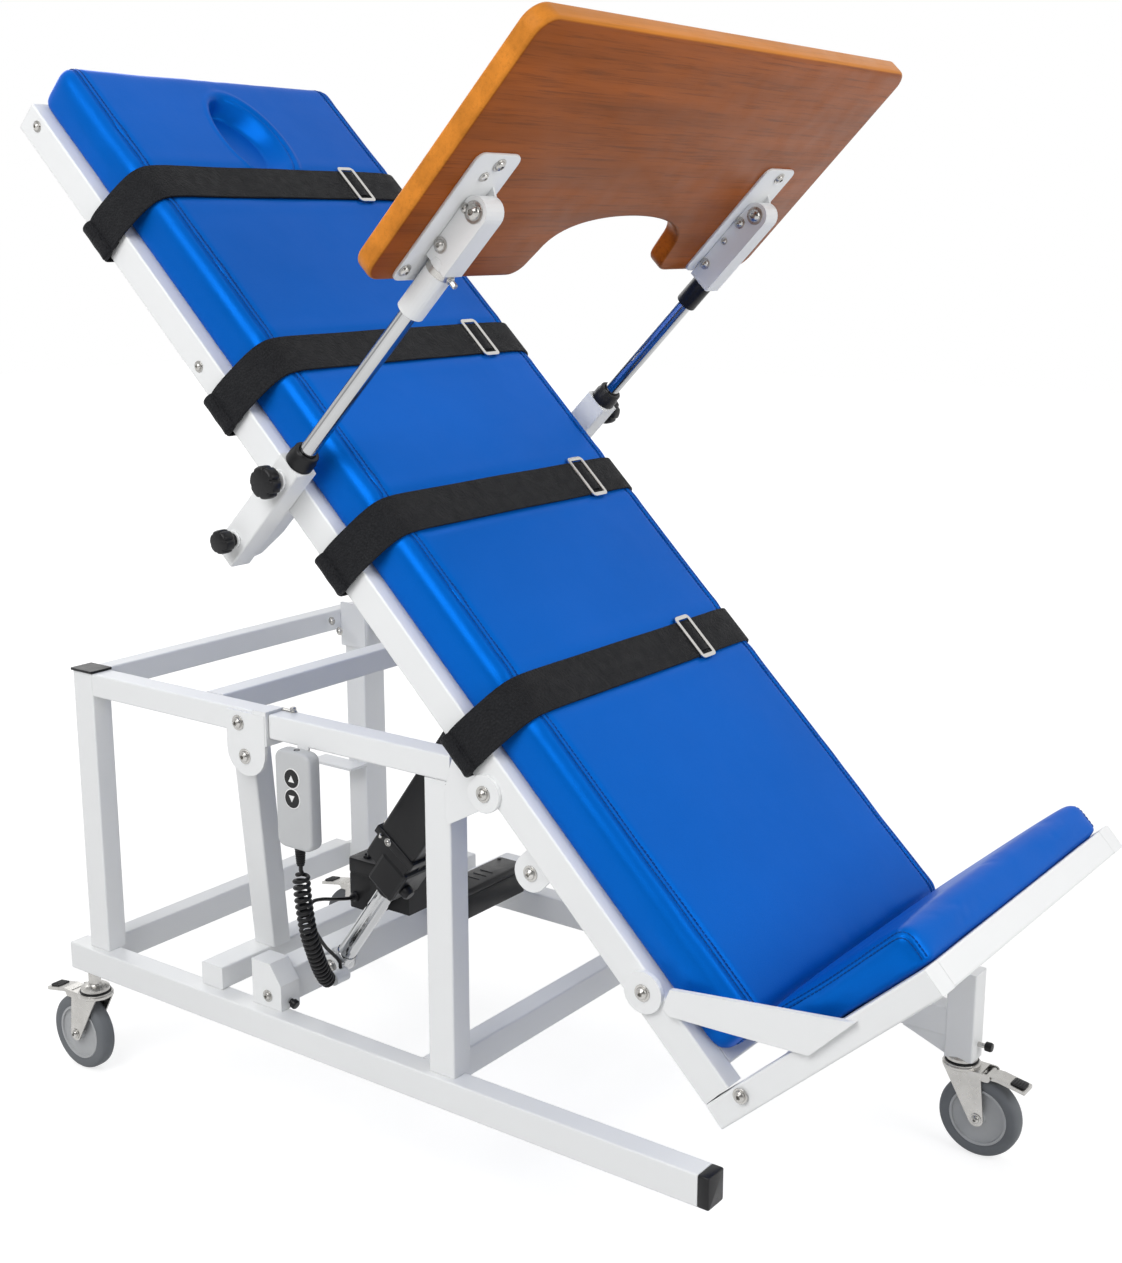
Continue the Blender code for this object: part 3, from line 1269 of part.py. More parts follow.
def desk():
    under = DESK_UNDERSIDE_X - CHANNEL_X
    board = node(
        "desk_board", prism([desk_outline()], under - DESK_THICKNESS, under, "YZ"), WOOD, DESK_TILT
    )
    round_edges(board, DESK_EDGE_ROUNDING, 1, 50)
    plate_face = under + HINGE_PLATE_THICKNESS
    overlap = 0.002
    for y, plate_out in ((NEAR_POST_Y, NEAR_HINGE_PLATE_OUT), (FAR_POST_Y, FAR_HINGE_PLATE_OUT)):
        plate_y = y - plate_out
        plate = box(
            (under - overlap, plate_y, HINGE_PLATE_LOW - DESK_HINGE_Z),
            (plate_face, plate_y + HINGE_PLATE_WIDTH, HINGE_PLATE_HIGH - DESK_HINGE_Z),
        )
        ear_y = y + CHANNEL_WIDTH / 2 + BORE_GAP
        ear = prism(
            [
                [(plate_face - overlap, -2 * HINGE_EAR_RADIUS), (0, -HINGE_EAR_RADIUS)]
                + arc((0, 0), HINGE_EAR_RADIUS, -80, 80, 8)
                + [(0, HINGE_EAR_RADIUS), (plate_face - overlap, 2 * HINGE_EAR_RADIUS)]
            ],
            ear_y,
            ear_y + HINGE_EAR_THICKNESS,
            "XZ",
        )
        pin = cylinder(
            HINGE_PIN_RADIUS,
            (0, y - CHANNEL_WIDTH / 2 - 0.001, 0),
            (0, ear_y + HINGE_EAR_THICKNESS / 2, 0),
            16,
        )
        add(board, plate, ear, pin)


# Actuator

def actuator():
    """Drawn on the actuator's own line: x runs up from the foot pin, and z points to its upper side."""
    rod = node(
        "actuator_rod",
        cylinder(ROD_RADIUS, (0, 0, 0), (ROD_LENGTH, 0, 0), 28),
        CHROME,
        ACTUATOR,
    )
    add(rod, cylinder(EYE_RADIUS + 0.001, (0, -EYE_WIDTH / 2, 0), (0, EYE_WIDTH / 2, 0), 28))
    cut(rod, cylinder(PIN_RADIUS + BORE_GAP, (0, -EYE_WIDTH, 0), (0, EYE_WIDTH, 0)))
    body = node(
        "actuator_body",
        box(
            (HOUSING_START, -HOUSING_HALF_WIDTH, -HOUSING_HALF_DEPTH),
            (HOUSING_END, HOUSING_HALF_WIDTH, HOUSING_HALF_DEPTH),
        ),
        BLACK,
        ACTUATOR,
    )
    round_edges(body, 0.006, 2)
    column_size = (COLUMN_END - COLUMN_START, 2 * COLUMN_HALF_WIDTH, COLUMN_LOW + COLUMN_HIGH)
    column = moved(
        tube(column_size, "X", 0.005),
        ((COLUMN_START + COLUMN_END) / 2, 0, (COLUMN_HIGH - COLUMN_LOW) / 2),
    )
    head = [(COLUMN_END - 0.005, -EYE_RADIUS)]
    head += arc((ACTUATOR_LENGTH, 0), EYE_RADIUS, -90, 90, 12)
    head += [(COLUMN_END - 0.005, EYE_RADIUS)]
    neck = prism([head], -EYE_WIDTH / 2, EYE_WIDTH / 2, "XZ")
    foot = Vector((ACTUATOR_FOOT_X, ACTUATOR_Y, ACTUATOR_FOOT_Z))
    upright = Matrix.Rotation(ACTUATOR_ANGLE, 4, "Y")
    bridge_y = ACTUATOR_Y + ROD_RADIUS + SLIDE_GAP
    bridge_low = Vector((MOTOR_X + MOTOR_LENGTH + GAP, bridge_y, MOTOR_Z + 0.025))
    bridge_size = Vector((BRIDGE_LENGTH, BRIDGE_WIDTH, BRIDGE_HEIGHT))
    bridge = box(bridge_low - foot, bridge_low + bridge_size - foot)
    bridge.transform(upright)
    add(body, column, neck, bridge)
    cut(
        body,
        cylinder(ROD_RADIUS + GAP, (HOUSING_START - 0.01, 0, 0), (ROD_BORE_END, 0, 0), 28),
        cylinder(PIN_RADIUS + BORE_GAP, (ACTUATOR_LENGTH, -EYE_WIDTH, 0), (ACTUATOR_LENGTH, EYE_WIDTH, 0)),
    )
    motor_size = Vector((MOTOR_LENGTH, MOTOR_WIDTH, MOTOR_HEIGHT))
    corner = Vector((MOTOR_X, MOTOR_Y, MOTOR_Z))
    motor = node("motor_box", box(-motor_size / 2, motor_size / 2), BLACK, ACTUATOR)
    motor.matrix_basis = upright @ Matrix.Translation(corner + motor_size / 2 - foot)
    round_edges(motor, 0.006, 2)


def control_box():
    face_x = ACTUATOR_CROSSBAR_X + POST_LENGTH + GAP
    size = Vector((CONTROL_BOX_DEPTH, CONTROL_BOX_LENGTH, CONTROL_BOX_HEIGHT))
    corner = Vector((face_x, CONTROL_BOX_Y, CONTROL_BOX_Z))
    case = node("control_box", box(-size / 2, size / 2), BLACK, ROOT, corner + size / 2)
    round_edges(case, 0.004, 2)


# Handset and cords

def handset():
    back = POST_INSET - GAP
    front = back - HANDSET_DEPTH
    size = Vector((HANDSET_WIDTH, HANDSET_DEPTH, HANDSET_HEIGHT))
    bottom = HANDSET_TOP_Z - HANDSET_HEIGHT
    centre = Vector((HANDSET_X, (front + back) / 2, HANDSET_TOP_Z - HANDSET_HEIGHT / 2))
    shell = node("handset_body", tube(size, "Y", HANDSET_ROUNDING * 1.6), SHELL, ROOT, centre)
    round_edges(shell, HANDSET_ROUNDING * 0.5, 2, 60)
    relief = cylinder(
        RELIEF_TIP_RADIUS,
        (RELIEF_X, centre.y, bottom - RELIEF_LENGTH),
        (RELIEF_X, centre.y, bottom + 0.002),
        20,
        RELIEF_RADIUS,
    )
    add(shell, inside(shell, relief))
    pockets = []
    for name, z in zip(("up_button", "down_button"), BUTTON_Z):
        pockets.append(
            cylinder(
                BUTTON_RADIUS + BORE_GAP,
                (HANDSET_X, front - 0.01, z),
                (HANDSET_X, front + BUTTON_POCKET, z),
                28,
            )
        )
        face = front - BUTTON_PROUD
        floor = front + BUTTON_POCKET - BUTTON_CLEARANCE
        middle = Vector((HANDSET_X, (face + floor) / 2, z))
        half = (floor - face) / 2
        node(name, cylinder(BUTTON_RADIUS, (0, -half, 0), (0, half, 0), 28), BLACK, ROOT, middle)
    cut(shell, *[inside(shell, pocket) for pocket in pockets])


def smooth_route(points, count):
    """Evenly spaced points on one smooth curve through a route's own points."""
    points = [Vector(point) for point in points]
    padded = [2 * points[0] - points[1], *points, 2 * points[-1] - points[-2]]
    fine = []
    pieces = 24
    for a, b, c, d in zip(padded, padded[1:], padded[2:], padded[3:]):
        for step in range(pieces):
            t = step / pieces
            fine.append(
                0.5
                * (2 * b + (c - a) * t + (2 * a - 5 * b + 4 * c - d) * t**2 + (3 * b - a - 3 * c + d) * t**3)
            )
    fine.append(points[-1])
    steps = [0.0]
    for first, second in zip(fine, fine[1:]):
        steps.append(steps[-1] + (second - first).length)
    wanted = np.linspace(0, steps[-1], count)
    axes = [np.interp(wanted, steps, [point[axis] for point in fine]) for axis in range(3)]
    return [Vector(point) for point in zip(*axes)], steps[-1]


CURLY_ROUTE = (
    (RELIEF_X, -0.0013, HANDSET_TOP_Z - HANDSET_HEIGHT - RELIEF_LENGTH - GAP),
    (RELIEF_X, -0.0013, 0.5150),
    (0.5935, -0.0003, 0.4750),
    (0.5940, 0.0040, 0.4400),
    (0.5910, 0.0130, 0.4070),
    (0.5830, 0.0330, 0.3660),
    (0.5720, 0.0560, 0.3290),
    (0.5620, 0.0780, 0.3020),
    (SOCKET_X + 0.0005, SOCKET_FACE_Y - 0.0075, SOCKET_Z + 0.0008),
    (SOCKET_X, SOCKET_FACE_Y - GAP, SOCKET_Z),
)

LEAD_ROUTE = (
    (SOCKET_X, SOCKET_FACE_Y + 0.019, SOCKET_Z + SOCKET_RADIUS + 3 * GAP),
    (0.5555, 0.1160, 0.3170),
    (0.5530, 0.1040, 0.3330),
    (0.5560, 0.0840, 0.3540),
    (0.5640, 0.0590, 0.3850),
    (0.5700, 0.0400, 0.4150),
    (0.5715, 0.0350, 0.4360),
    (0.5660, 0.0470, 0.4470),
    (0.5560, 0.0790, 0.4390),
    (0.5450, 0.1200, 0.4230),
    (0.5360, 0.1600, 0.4090),
    (0.5347, 0.1700, 0.4065),
    (0.5346, MOTOR_Y - 2 * GAP, 0.4060),
)


def curly_points():
    """A helix round the cord's route that starts and ends as a straight wire."""
    count = CURL_COUNT * POINTS_PER_CURL
    centre, length = smooth_route(CURLY_ROUTE, count + 1)
    straight = 2.2 * CORD_RADIUS / length
    ramp = CURL_RAMP / length
    side = Vector((1, 0, 0))
    points = []
    for number, place in enumerate(centre):
        along = number / count
        ahead = centre[min(number + 1, count)] - centre[max(number - 1, 0)]
        ahead.normalize()
        side = (side - ahead * side.dot(ahead)).normalized()
        other = ahead.cross(side)
        from_end = min(along, 1 - along)
        share = min(1.0, max(0.0, (from_end - straight) / ramp))
        radius = CURL_RADIUS * share * share * (3 - 2 * share)
        angle = 2 * math.pi * (number / POINTS_PER_CURL)
        points.append(place + radius * (math.cos(angle) * side + math.sin(angle) * other))
    return points


def least_gap(points, radius):
    """The least distance between the wire's surfaces over three diameters apart along it."""
    along = [0.0]
    for first, second in zip(points, points[1:]):
        along.append(along[-1] + (second - first).length)
    least = float("inf")
    for first, place in enumerate(points):
        for second in range(first + 1, len(points)):
            if along[second] - along[first] > 6 * radius:
                least = min(least, (place - points[second]).length)
    return least - 2 * radius


def wire(name, points, radius, bevel_resolution):
    curve = bpy.data.curves.new(name, "CURVE")
    curve.dimensions = "3D"
    curve.bevel_depth = radius
    curve.bevel_resolution = bevel_resolution
    curve.use_fill_caps = True
    curve.materials.append(BLACK)
    spline = curve.splines.new("POLY")
    spline.points.add(len(points) - 1)
    middle = points[len(points) // 2]
    for target, place in zip(spline.points, points):
        target.co = (*(place - middle), 1)
    obj = bpy.data.objects.new(name, curve)
    PARTS.objects.link(obj)
    obj.parent = ROOT
    obj.location = middle
    return obj


def cords():
    points = curly_points()
    wire("curly_cord", points, CORD_RADIUS, 1)
    print(f"curly cord: least gap to itself {1000 * least_gap(points, CORD_RADIUS):.2f} mm")
    lead, _ = smooth_route(LEAD_ROUTE, 20)
    wire("motor_lead", lead, LEAD_RADIUS, 2)


# The whole table stands with the middle of its outline over the origin

def stand_on_origin():
    bpy.context.view_layer.update()
    graph = bpy.context.evaluated_depsgraph_get()
    places = []
    for obj in PARTS.objects:
        if obj.type == "EMPTY":
            continue
        seen = obj.evaluated_get(graph)
        mesh = seen.to_mesh()
        points = np.empty(3 * len(mesh.vertices), np.float32)
        mesh.vertices.foreach_get("co", points)
        seen.to_mesh_clear()
        matrix = np.array(seen.matrix_world)
        places.append(points.reshape(-1, 3) @ matrix[:3, :3].T + matrix[:3, 3])
    places = np.concatenate(places)
    middle = (places.min(axis=0) + places.max(axis=0)) / 2
    ROOT.location = (-middle[0], -middle[1], 0)


base_rails()
posts()
top_frame()
lower_crossbars()
strut_and_hook_plate()
actuator_crossbar()
casters()
side_rails()
cross_members()
mattress()
footplate()
straps()
desk_brackets()
knobs()
desk_posts()
desk()
actuator()
control_box()
handset()
cords()
stand_on_origin()
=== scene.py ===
"""Electric tilt table: the surfaces, soft goods, cords and small fittings that dress its frame of solids."""

import json
import math

import bmesh
import bpy
import numpy as np
from bpy.props import FloatProperty, FloatVectorProperty, IntProperty, PointerProperty
from mathutils import Matrix, Vector, noise
from mathutils.bvhtree import BVHTree


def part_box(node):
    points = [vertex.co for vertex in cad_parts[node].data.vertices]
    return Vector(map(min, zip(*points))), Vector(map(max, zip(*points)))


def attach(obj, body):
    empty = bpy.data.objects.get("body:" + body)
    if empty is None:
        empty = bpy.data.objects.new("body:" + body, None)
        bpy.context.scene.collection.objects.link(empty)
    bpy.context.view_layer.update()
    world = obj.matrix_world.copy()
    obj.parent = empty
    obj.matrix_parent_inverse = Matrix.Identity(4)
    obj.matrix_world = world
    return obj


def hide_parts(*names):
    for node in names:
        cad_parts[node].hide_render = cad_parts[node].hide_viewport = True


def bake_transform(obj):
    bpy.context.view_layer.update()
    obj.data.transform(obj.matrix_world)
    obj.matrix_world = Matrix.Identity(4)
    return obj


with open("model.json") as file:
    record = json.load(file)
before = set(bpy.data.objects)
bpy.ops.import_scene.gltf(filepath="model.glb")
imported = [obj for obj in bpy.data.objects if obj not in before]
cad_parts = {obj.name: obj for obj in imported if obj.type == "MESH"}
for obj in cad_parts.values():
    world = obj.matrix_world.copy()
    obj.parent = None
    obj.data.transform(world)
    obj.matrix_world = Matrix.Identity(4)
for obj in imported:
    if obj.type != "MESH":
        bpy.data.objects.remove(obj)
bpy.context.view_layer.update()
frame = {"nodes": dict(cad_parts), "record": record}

bl_info = {
    "name": "Electric Tilt Table",
    "version": (1, 0, 0),
    "blender": (4, 5, 0),
    "location": "View3D > Sidebar > Tilt Table",
    "description": "Dresses the frame of an electric tilt table with finishes, cushions, straps and cords",
    "category": "Object",
}

# Places, in metres. The base, the tilting top, the footplate and the actuator each have a frame of their own

BASE_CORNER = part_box("near_base_rail")[0]
TILT = math.radians(44.6)
ACTUATOR_FOOT = (0.530, 0.145, 0.300)
ACTUATOR_LEAN = -math.atan2(0.81083, 0.58528)
BASE = Matrix.Translation((BASE_CORNER.x, BASE_CORNER.y, 0))
TOP = BASE @ Matrix.Translation((0.9951, 0, 0.7388)) @ Matrix.Rotation(TILT, 4, "Y")
FOOT = TOP @ Matrix.Translation((0.5100, 0, 0)) @ Matrix.Rotation(math.radians(3.0), 4, "Y")
ACTUATOR = BASE @ Matrix.Translation(ACTUATOR_FOOT) @ Matrix.Rotation(ACTUATOR_LEAN, 4, "Y")

# In the top's frame: the mattress, the rails' outer faces, the straps and the desk
PAD_X = (-1.319, 0.475)
PAD_Y = (-0.023, 0.575)
PAD_Z = (0.0503, 0.1273)
RAIL_NEAR_Y = -0.038
RAIL_FAR_Y = 0.590
STRAP_X = (-1.053, -0.697, -0.390, -0.065)
SLIDER_Y = (0.437, 0.455, 0.458, 0.425)
FAR_STRAP_Y = 0.5916
POST_X = -0.534
POST_Y = (-0.058, 0.645)
HINGE_Z = 0.572
DESK_LOW_Z = 0.427
CUT_OUT_Y = 0.345

# In the base's frame: each caster's swivel and the way that it points
WHEEL_RADIUS = 0.070
CASTER_TRAIL = 0.038
CASTERS = (
    ("near_head_caster", 0.036, 0.020, 0.0),
    ("far_head_caster", 0.076, 0.700, 0.0),
    ("far_foot_caster", 1.409, 0.700, math.pi),
)

SLOT_FINISH = {
    "white_powder_coat": "powder_coat",
    "black_plastic": "black_moulding",
    "blue_vinyl": "padded_vinyl",
    "black_webbing": "grained_strap",
    "stained_wood": "desk_wood",
    "polished_chrome": "chrome",
    "zinc_plated_steel": "zinc_steel",
    "grey_rubber": "tread_rubber",
    "light_grey_plastic": "handset_shell",
}


class TiltTableColours(bpy.types.PropertyGroup):
    """Colours of the table's finishes."""

    powder_coat: FloatVectorProperty(
        name="Powder coat",
        description="White paint of the steel frame",
        subtype="COLOR",
        default=(0.80, 0.81, 0.815),
        min=0.0,
        max=1.0,
    )
    vinyl: FloatVectorProperty(
        name="Vinyl",
        description="Blue cover of the mattress and of the footplate's cushion",
        subtype="COLOR",
        default=(0.0015, 0.118, 0.53),
        min=0.0,
        max=1.0,
    )
    strap: FloatVectorProperty(
        name="Straps",
        description="Black grained straps",
        subtype="COLOR",
        default=(0.0065, 0.0068, 0.008),
        min=0.0,
        max=1.0,
    )
    moulding: FloatVectorProperty(
        name="Mouldings",
        description="Black knobs, caps, motor and control box",
        subtype="COLOR",
        default=(0.0085, 0.0085, 0.0095),
        min=0.0,
        max=1.0,
    )
    wood: FloatVectorProperty(
        name="Desk face",
        description="Stained face of the desk board",
        subtype="COLOR",
        default=(0.310, 0.074, 0.007),
        min=0.0,
        max=1.0,
    )
    wood_edge: FloatVectorProperty(
        name="Desk edge",
        description="Lighter edge band of the desk board",
        subtype="COLOR",
        default=(0.58, 0.205, 0.028),
        min=0.0,
        max=1.0,
    )
    tread: FloatVectorProperty(
        name="Treads",
        description="Grey rubber of the casters' wheels",
        subtype="COLOR",
        default=(0.150, 0.160, 0.172),
        min=0.0,
        max=1.0,
    )
    handset: FloatVectorProperty(
        name="Handset",
        description="Light grey shell of the handset",
        subtype="COLOR",
        default=(0.50, 0.51, 0.52),
        min=0.0,
        max=1.0,
    )


class TiltTableSizes(bpy.types.PropertyGroup):
    """Sizes of the small work on the table."""

    seam_inset: FloatProperty(
        name="Seam inset",
        description="Distance from the mattress's long edges to its double seams",
        default=0.030,
        min=0.02,
        max=0.05,
        unit="LENGTH",
    )
    stitch: FloatProperty(
        name="Stitch",
        description="Length of one stitch with the space after it",
        default=0.0065,
        min=0.004,
        max=0.02,
        unit="LENGTH",
    )
    pad_cell: FloatProperty(
        name="Cushion cell",
        description="Size of the cushions' mesh before it is smoothed",
        default=0.0125,
        min=0.008,
        max=0.03,
        unit="LENGTH",
    )
    pad_crown: FloatProperty(
        name="Cushion crown",
        description="Height that the mattress's middle stands above its edges",
        default=0.0025,
        min=0.0,
        max=0.01,
        unit="LENGTH",
    )
    strap_thickness: FloatProperty(
        name="Strap thickness",
        description="Thickness of one layer of strap",
        default=0.0038,
        min=0.001,
        max=0.004,
        unit="LENGTH",
    )
    bolt_radius: FloatProperty(
        name="Bolt radius",
        description="Radius of the frame's dome bolts",
        default=0.0088,
        min=0.004,
        max=0.015,
        unit="LENGTH",
    )
    curl_points: IntProperty(
        name="Points per curl",
        description="Points in each turn of the handset's curly cord",
        default=16,
        min=12,
        max=32,
    )


def colours():
    return bpy.context.scene.tilt_table_colours


def sizes():
    return bpy.context.scene.tilt_table_sizes


# Finishes


def node(tree, kind, *sources, operation="", **values):
    """A new shader node. Outputs feed its first inputs, and its named inputs hold values."""
    made = tree.nodes.new(f"ShaderNode{kind}")
    if operation:
        made.operation = operation
    for name, value in values.items():
        made.inputs[name.replace("_", " ")].default_value = value
    for source, socket in zip(sources, made.inputs):
        tree.links.new(source, socket)
    return made


class Finish:
    """One procedural material, wired step by step."""

    def __init__(self, name, metallic=0.0, gloss=0.5, tint=(1.0, 1.0, 1.0)):
        self.material = bpy.data.materials.new(name)
        self.material.use_nodes = True
        self.tree = self.material.node_tree
        self.shader = self.tree.nodes["Principled BSDF"]
        self.shader.inputs["Metallic"].default_value = metallic
        self.shader.inputs["Specular IOR Level"].default_value = gloss
        self.shader.inputs["Specular Tint"].default_value = (*tint, 1.0)
        self.space = self.add("TexCoord")
        self.where = self.space.outputs["Object"]

    def add(self, kind, *sources, **values):
        return node(self.tree, kind, *sources, **values)

    def link(self, start, end):
        self.tree.links.new(start, end)

    def stretched(self, scale):
        """Coordinates laid along the tilted top and stretched."""
        return self.add("Mapping", self.where, Scale=scale, Rotation=(0, -TILT, 0)).outputs["Vector"]

    def noise(self, scale, detail=4.0, where=None, roughness=0.55):
        step = self.add("TexNoise", where or self.where, Scale=scale, Detail=detail, Roughness=roughness)
        return step.outputs["Fac"]

    def cells(self, scale, where=None):
        return self.add("TexVoronoi", where or self.where, Scale=scale).outputs["Distance"]

    def ranged(self, value, start, end, low, high):
        step = self.add("MapRange", value, From_Min=start, From_Max=end, To_Min=low, To_Max=high)
        return step.outputs["Result"]

    def mixed(self, factor, first, second):
        step = self.add("Mix")
        step.data_type = "RGBA"
        self.link(factor, step.inputs[0])
        for socket, value in ((step.inputs[6], first), (step.inputs[7], second)):
            if isinstance(value, bpy.types.NodeSocket):
                self.link(value, socket)
            else:
                socket.default_value = (*value, 1.0)
        return step.outputs[2]

    def mottled(self, scale, colour, low, high):
        """One colour in two shades, mixed by noise."""
        return self.mixed(self.noise(scale), shade(colour, low), shade(colour, high))

    def painted(self, colour):
        self.link(colour, self.shader.inputs["Base Color"])

    def rough(self, value, low, high):
        self.link(self.ranged(value, 0.3, 0.7, low, high), self.shader.inputs["Roughness"])

    def bumped(self, height, distance, strength=1.0, normal=None):
        step = self.add("Bump", Strength=strength, Distance=distance)
        self.link(height, step.inputs["Height"])
        if normal:
            self.link(normal, step.inputs["Normal"])
        self.link(step.outputs["Normal"], self.shader.inputs["Normal"])
        return step.outputs["Normal"]

    def rounded(self, radius):
        """The normal of edges that look rounded by this radius."""
        step = self.add("Bevel", Radius=radius)
        step.samples = 4
        return step.outputs["Normal"]


def shade(colour, factor):
    return tuple(min(1.0, part * factor) for part in colour)


def powder_coat():
    f = Finish("powder_coat", gloss=0.40)
    colour = colours().powder_coat
    f.painted(f.mottled(5.0, colour, 0.965, 1.03))
    f.rough(f.noise(40.0), 0.30, 0.42)
    f.bumped(f.noise(900.0, 2.0), 0.00012, 0.35, f.rounded(0.0012))
    return f.material


def padded_vinyl():
    f = Finish("padded_vinyl", metallic=0.28, gloss=0.12, tint=(0.05, 0.36, 1.0))
    colour = colours().vinyl
    broad = f.mottled(3.2, colour, 0.88, 1.12)
    f.painted(f.mixed(f.ranged(f.cells(620.0), 0.0, 0.9, 0.0, 0.22), broad, shade(colour, 0.72)))
    f.rough(f.noise(18.0), 0.30, 0.40)
    fine = f.bumped(f.noise(9.0, 3.0), 0.0022, 0.22)
    f.bumped(f.cells(620.0), 0.00022, 0.45, fine)
    return f.material


def thread_and_groove_shade():
    f = Finish("thread_and_groove_shade", gloss=0.15)
    # Thread in a dark shade of the vinyl: partly the thread's own tone, partly painted shade of the seam
    # grooves that the mesh is too coarse to show
    colour = shade(colours().vinyl, 0.42)
    f.painted(f.mottled(400.0, colour, 0.8, 1.25))
    f.rough(f.noise(200.0), 0.55, 0.70)
    f.bumped(f.noise(2600.0), 0.0002, 0.5)
    return f.material


def grained_strap():
    f = Finish("grained_strap", gloss=0.14)
    colour = colours().strap
    cells = f.cells(270.0, f.stretched((1.0, 1.5, 1.0)))
    worn = f.mottled(14.0, colour, 0.8, 1.5)
    f.painted(f.mixed(f.ranged(cells, 0.15, 0.75, 0.0, 0.7), shade(colour, 1.9), worn))
    f.rough(f.noise(60.0), 0.48, 0.66)
    f.bumped(cells, 0.0018, 1.0)
    return f.material


def black_moulding():
    f = Finish("black_moulding", gloss=0.26)
    colour = colours().moulding
    f.painted(f.mottled(9.0, colour, 0.8, 1.5))
    f.rough(f.noise(30.0), 0.30, 0.46)
    f.bumped(f.noise(1100.0, 2.0), 0.00016, 0.5, f.rounded(0.0010))
    return f.material


def cord_cover():
    f = Finish("cord_cover", gloss=0.26)
    colour = colours().moulding
    f.painted(f.mottled(60.0, colour, 0.7, 1.4))
    f.rough(f.noise(90.0), 0.34, 0.50)
    f.bumped(f.noise(1500.0), 0.0001, 0.4)
    return f.material


def desk_wood():
    """Grain that runs across the board, with a lighter band round its edge, but not in the cut-out."""
    f = Finish("desk_wood", gloss=0.16, tint=(1.0, 0.55, 0.28))
    colour, edge = colours().wood, colours().wood_edge
    across = f.stretched((1.0, 0.055, 1.0))
    wide = f.noise(26.0, 6.0, across, 0.62)
    fine = f.noise(240.0, 5.0, f.stretched((1.0, 0.03, 1.0)), 0.7)
    face = f.mixed(f.ranged(wide, 0.30, 0.72, 0.0, 1.0), shade(colour, 0.70), shade(colour, 1.22))
    pores = f.ranged(fine, 0.34, 0.50, 0.60, 0.0)
    face = f.mixed(pores, face, shade(colour, 0.42))
    band = f.mixed(f.ranged(wide, 0.3, 0.7, 0.0, 1.0), shade(edge, 0.74), shade(edge, 1.16))
    band = f.mixed(f.ranged(fine, 0.32, 0.50, 0.35, 0.0), band, shade(edge, 0.55))
    square = f.add("VectorMath", f.space.outputs["Normal"], operation="DOT_PRODUCT")
    square.inputs[1].default_value = TOP.to_3x3() @ Vector((1, 0, 0))
    size = f.add("Math", square.outputs["Value"], operation="ABSOLUTE")
    away = f.add("VectorMath", f.where, operation="DISTANCE")
    away.inputs[1].default_value = TOP @ Vector((POST_X - 0.040, CUT_OUT_Y, DESK_LOW_Z))
    band = f.mixed(f.ranged(away.outputs["Value"], 0.188, 0.202, 1.0, 0.0), band, face)
    f.painted(f.mixed(f.ranged(size.outputs[0], 0.80, 0.97, 0.0, 1.0), band, face))
    f.rough(f.noise(22.0), 0.30, 0.42)
    f.bumped(fine, 0.00035, 0.35)
    return f.material


def chrome():
    f = Finish("chrome", metallic=1.0)
    f.painted(f.mixed(f.noise(7.0), (0.40, 0.405, 0.41), (0.56, 0.565, 0.57)))
    f.rough(f.noise(35.0), 0.13, 0.18)
    return f.material


def zinc_steel():
    f = Finish("zinc_steel", metallic=1.0)
    f.painted(f.mixed(f.noise(26.0), (0.36, 0.35, 0.33), (0.62, 0.61, 0.59)))
    f.rough(f.noise(120.0, 5.0), 0.22, 0.38)
    f.bumped(f.noise(520.0, 3.0), 0.00008, 0.4, f.rounded(0.0006))
    return f.material


def brushed_steel():
    f = Finish("brushed_steel", metallic=1.0)
    lines = f.noise(60.0, 3.0, f.stretched((30.0, 1.0, 1.0)))
    f.painted(f.mixed(lines, (0.52, 0.50, 0.47), (0.78, 0.77, 0.75)))
    f.rough(lines, 0.22, 0.36)
    f.bumped(lines, 0.00006, 0.5)
    return f.material


def tread_rubber():
    f = Finish("tread_rubber", gloss=0.25)
    colour = colours().tread
    f.painted(f.mottled(30.0, colour, 0.85, 1.18))
    f.rough(f.noise(60.0), 0.52, 0.68)
    f.bumped(f.noise(1300.0), 0.00018, 0.5)
    return f.material


def hub_plastic():
    f = Finish("hub_plastic")
    f.painted(f.mixed(f.noise(24.0), (0.36, 0.37, 0.38), (0.46, 0.47, 0.48)))
    f.rough(f.noise(50.0), 0.34, 0.46)
    f.bumped(f.noise(1000.0), 0.00012, 0.4)
    return f.material


def handset_shell():
    f = Finish("handset_shell")
    colour = colours().handset
    f.painted(f.mottled(16.0, colour, 0.95, 1.06))
    f.rough(f.noise(60.0), 0.38, 0.48)
    f.bumped(f.noise(1500.0, 2.0), 0.00012, 0.5)
    return f.material


def mark_white():
    f = Finish("mark_white")
    f.painted(f.mixed(f.noise(80.0), (0.80, 0.80, 0.80), (0.88, 0.88, 0.88)))
    f.rough(f.noise(90.0), 0.42, 0.52)
    return f.material


MAKERS = (
    powder_coat,
    padded_vinyl,
    thread_and_groove_shade,
    grained_strap,
    black_moulding,
    cord_cover,
    desk_wood,
    chrome,
    zinc_steel,
    brushed_steel,
    tread_rubber,
    hub_plastic,
    handset_shell,
    mark_white,
)
FINISHES = {maker.__name__: maker for maker in MAKERS}


def finish(name):
    """The named finish, made the first time that it is asked for. No finish shares a slot's name."""
    return bpy.data.materials.get(name) or FINISHES[name]()


# Shapes


def moved(x=0.0, y=0.0, z=0.0):
    return Matrix.Translation((x, y, z))


def facing(direction):
    """Turns +Z to look along a direction."""
    return Vector(direction).to_track_quat("Z", "Y").to_matrix().to_4x4()


NEAR_FACE = facing((0, -1, 0))
FAR_FACE = facing((0, 1, 0))
TOWARDS_FOOT = facing((1, 0, 0))


def circle(radius, height=0.0, steps=32):
    """Points round a level circle about Z."""
    angles = [math.tau * step / steps for step in range(steps)]
    return [(radius * math.cos(angle), radius * math.sin(angle), height) for angle in angles]


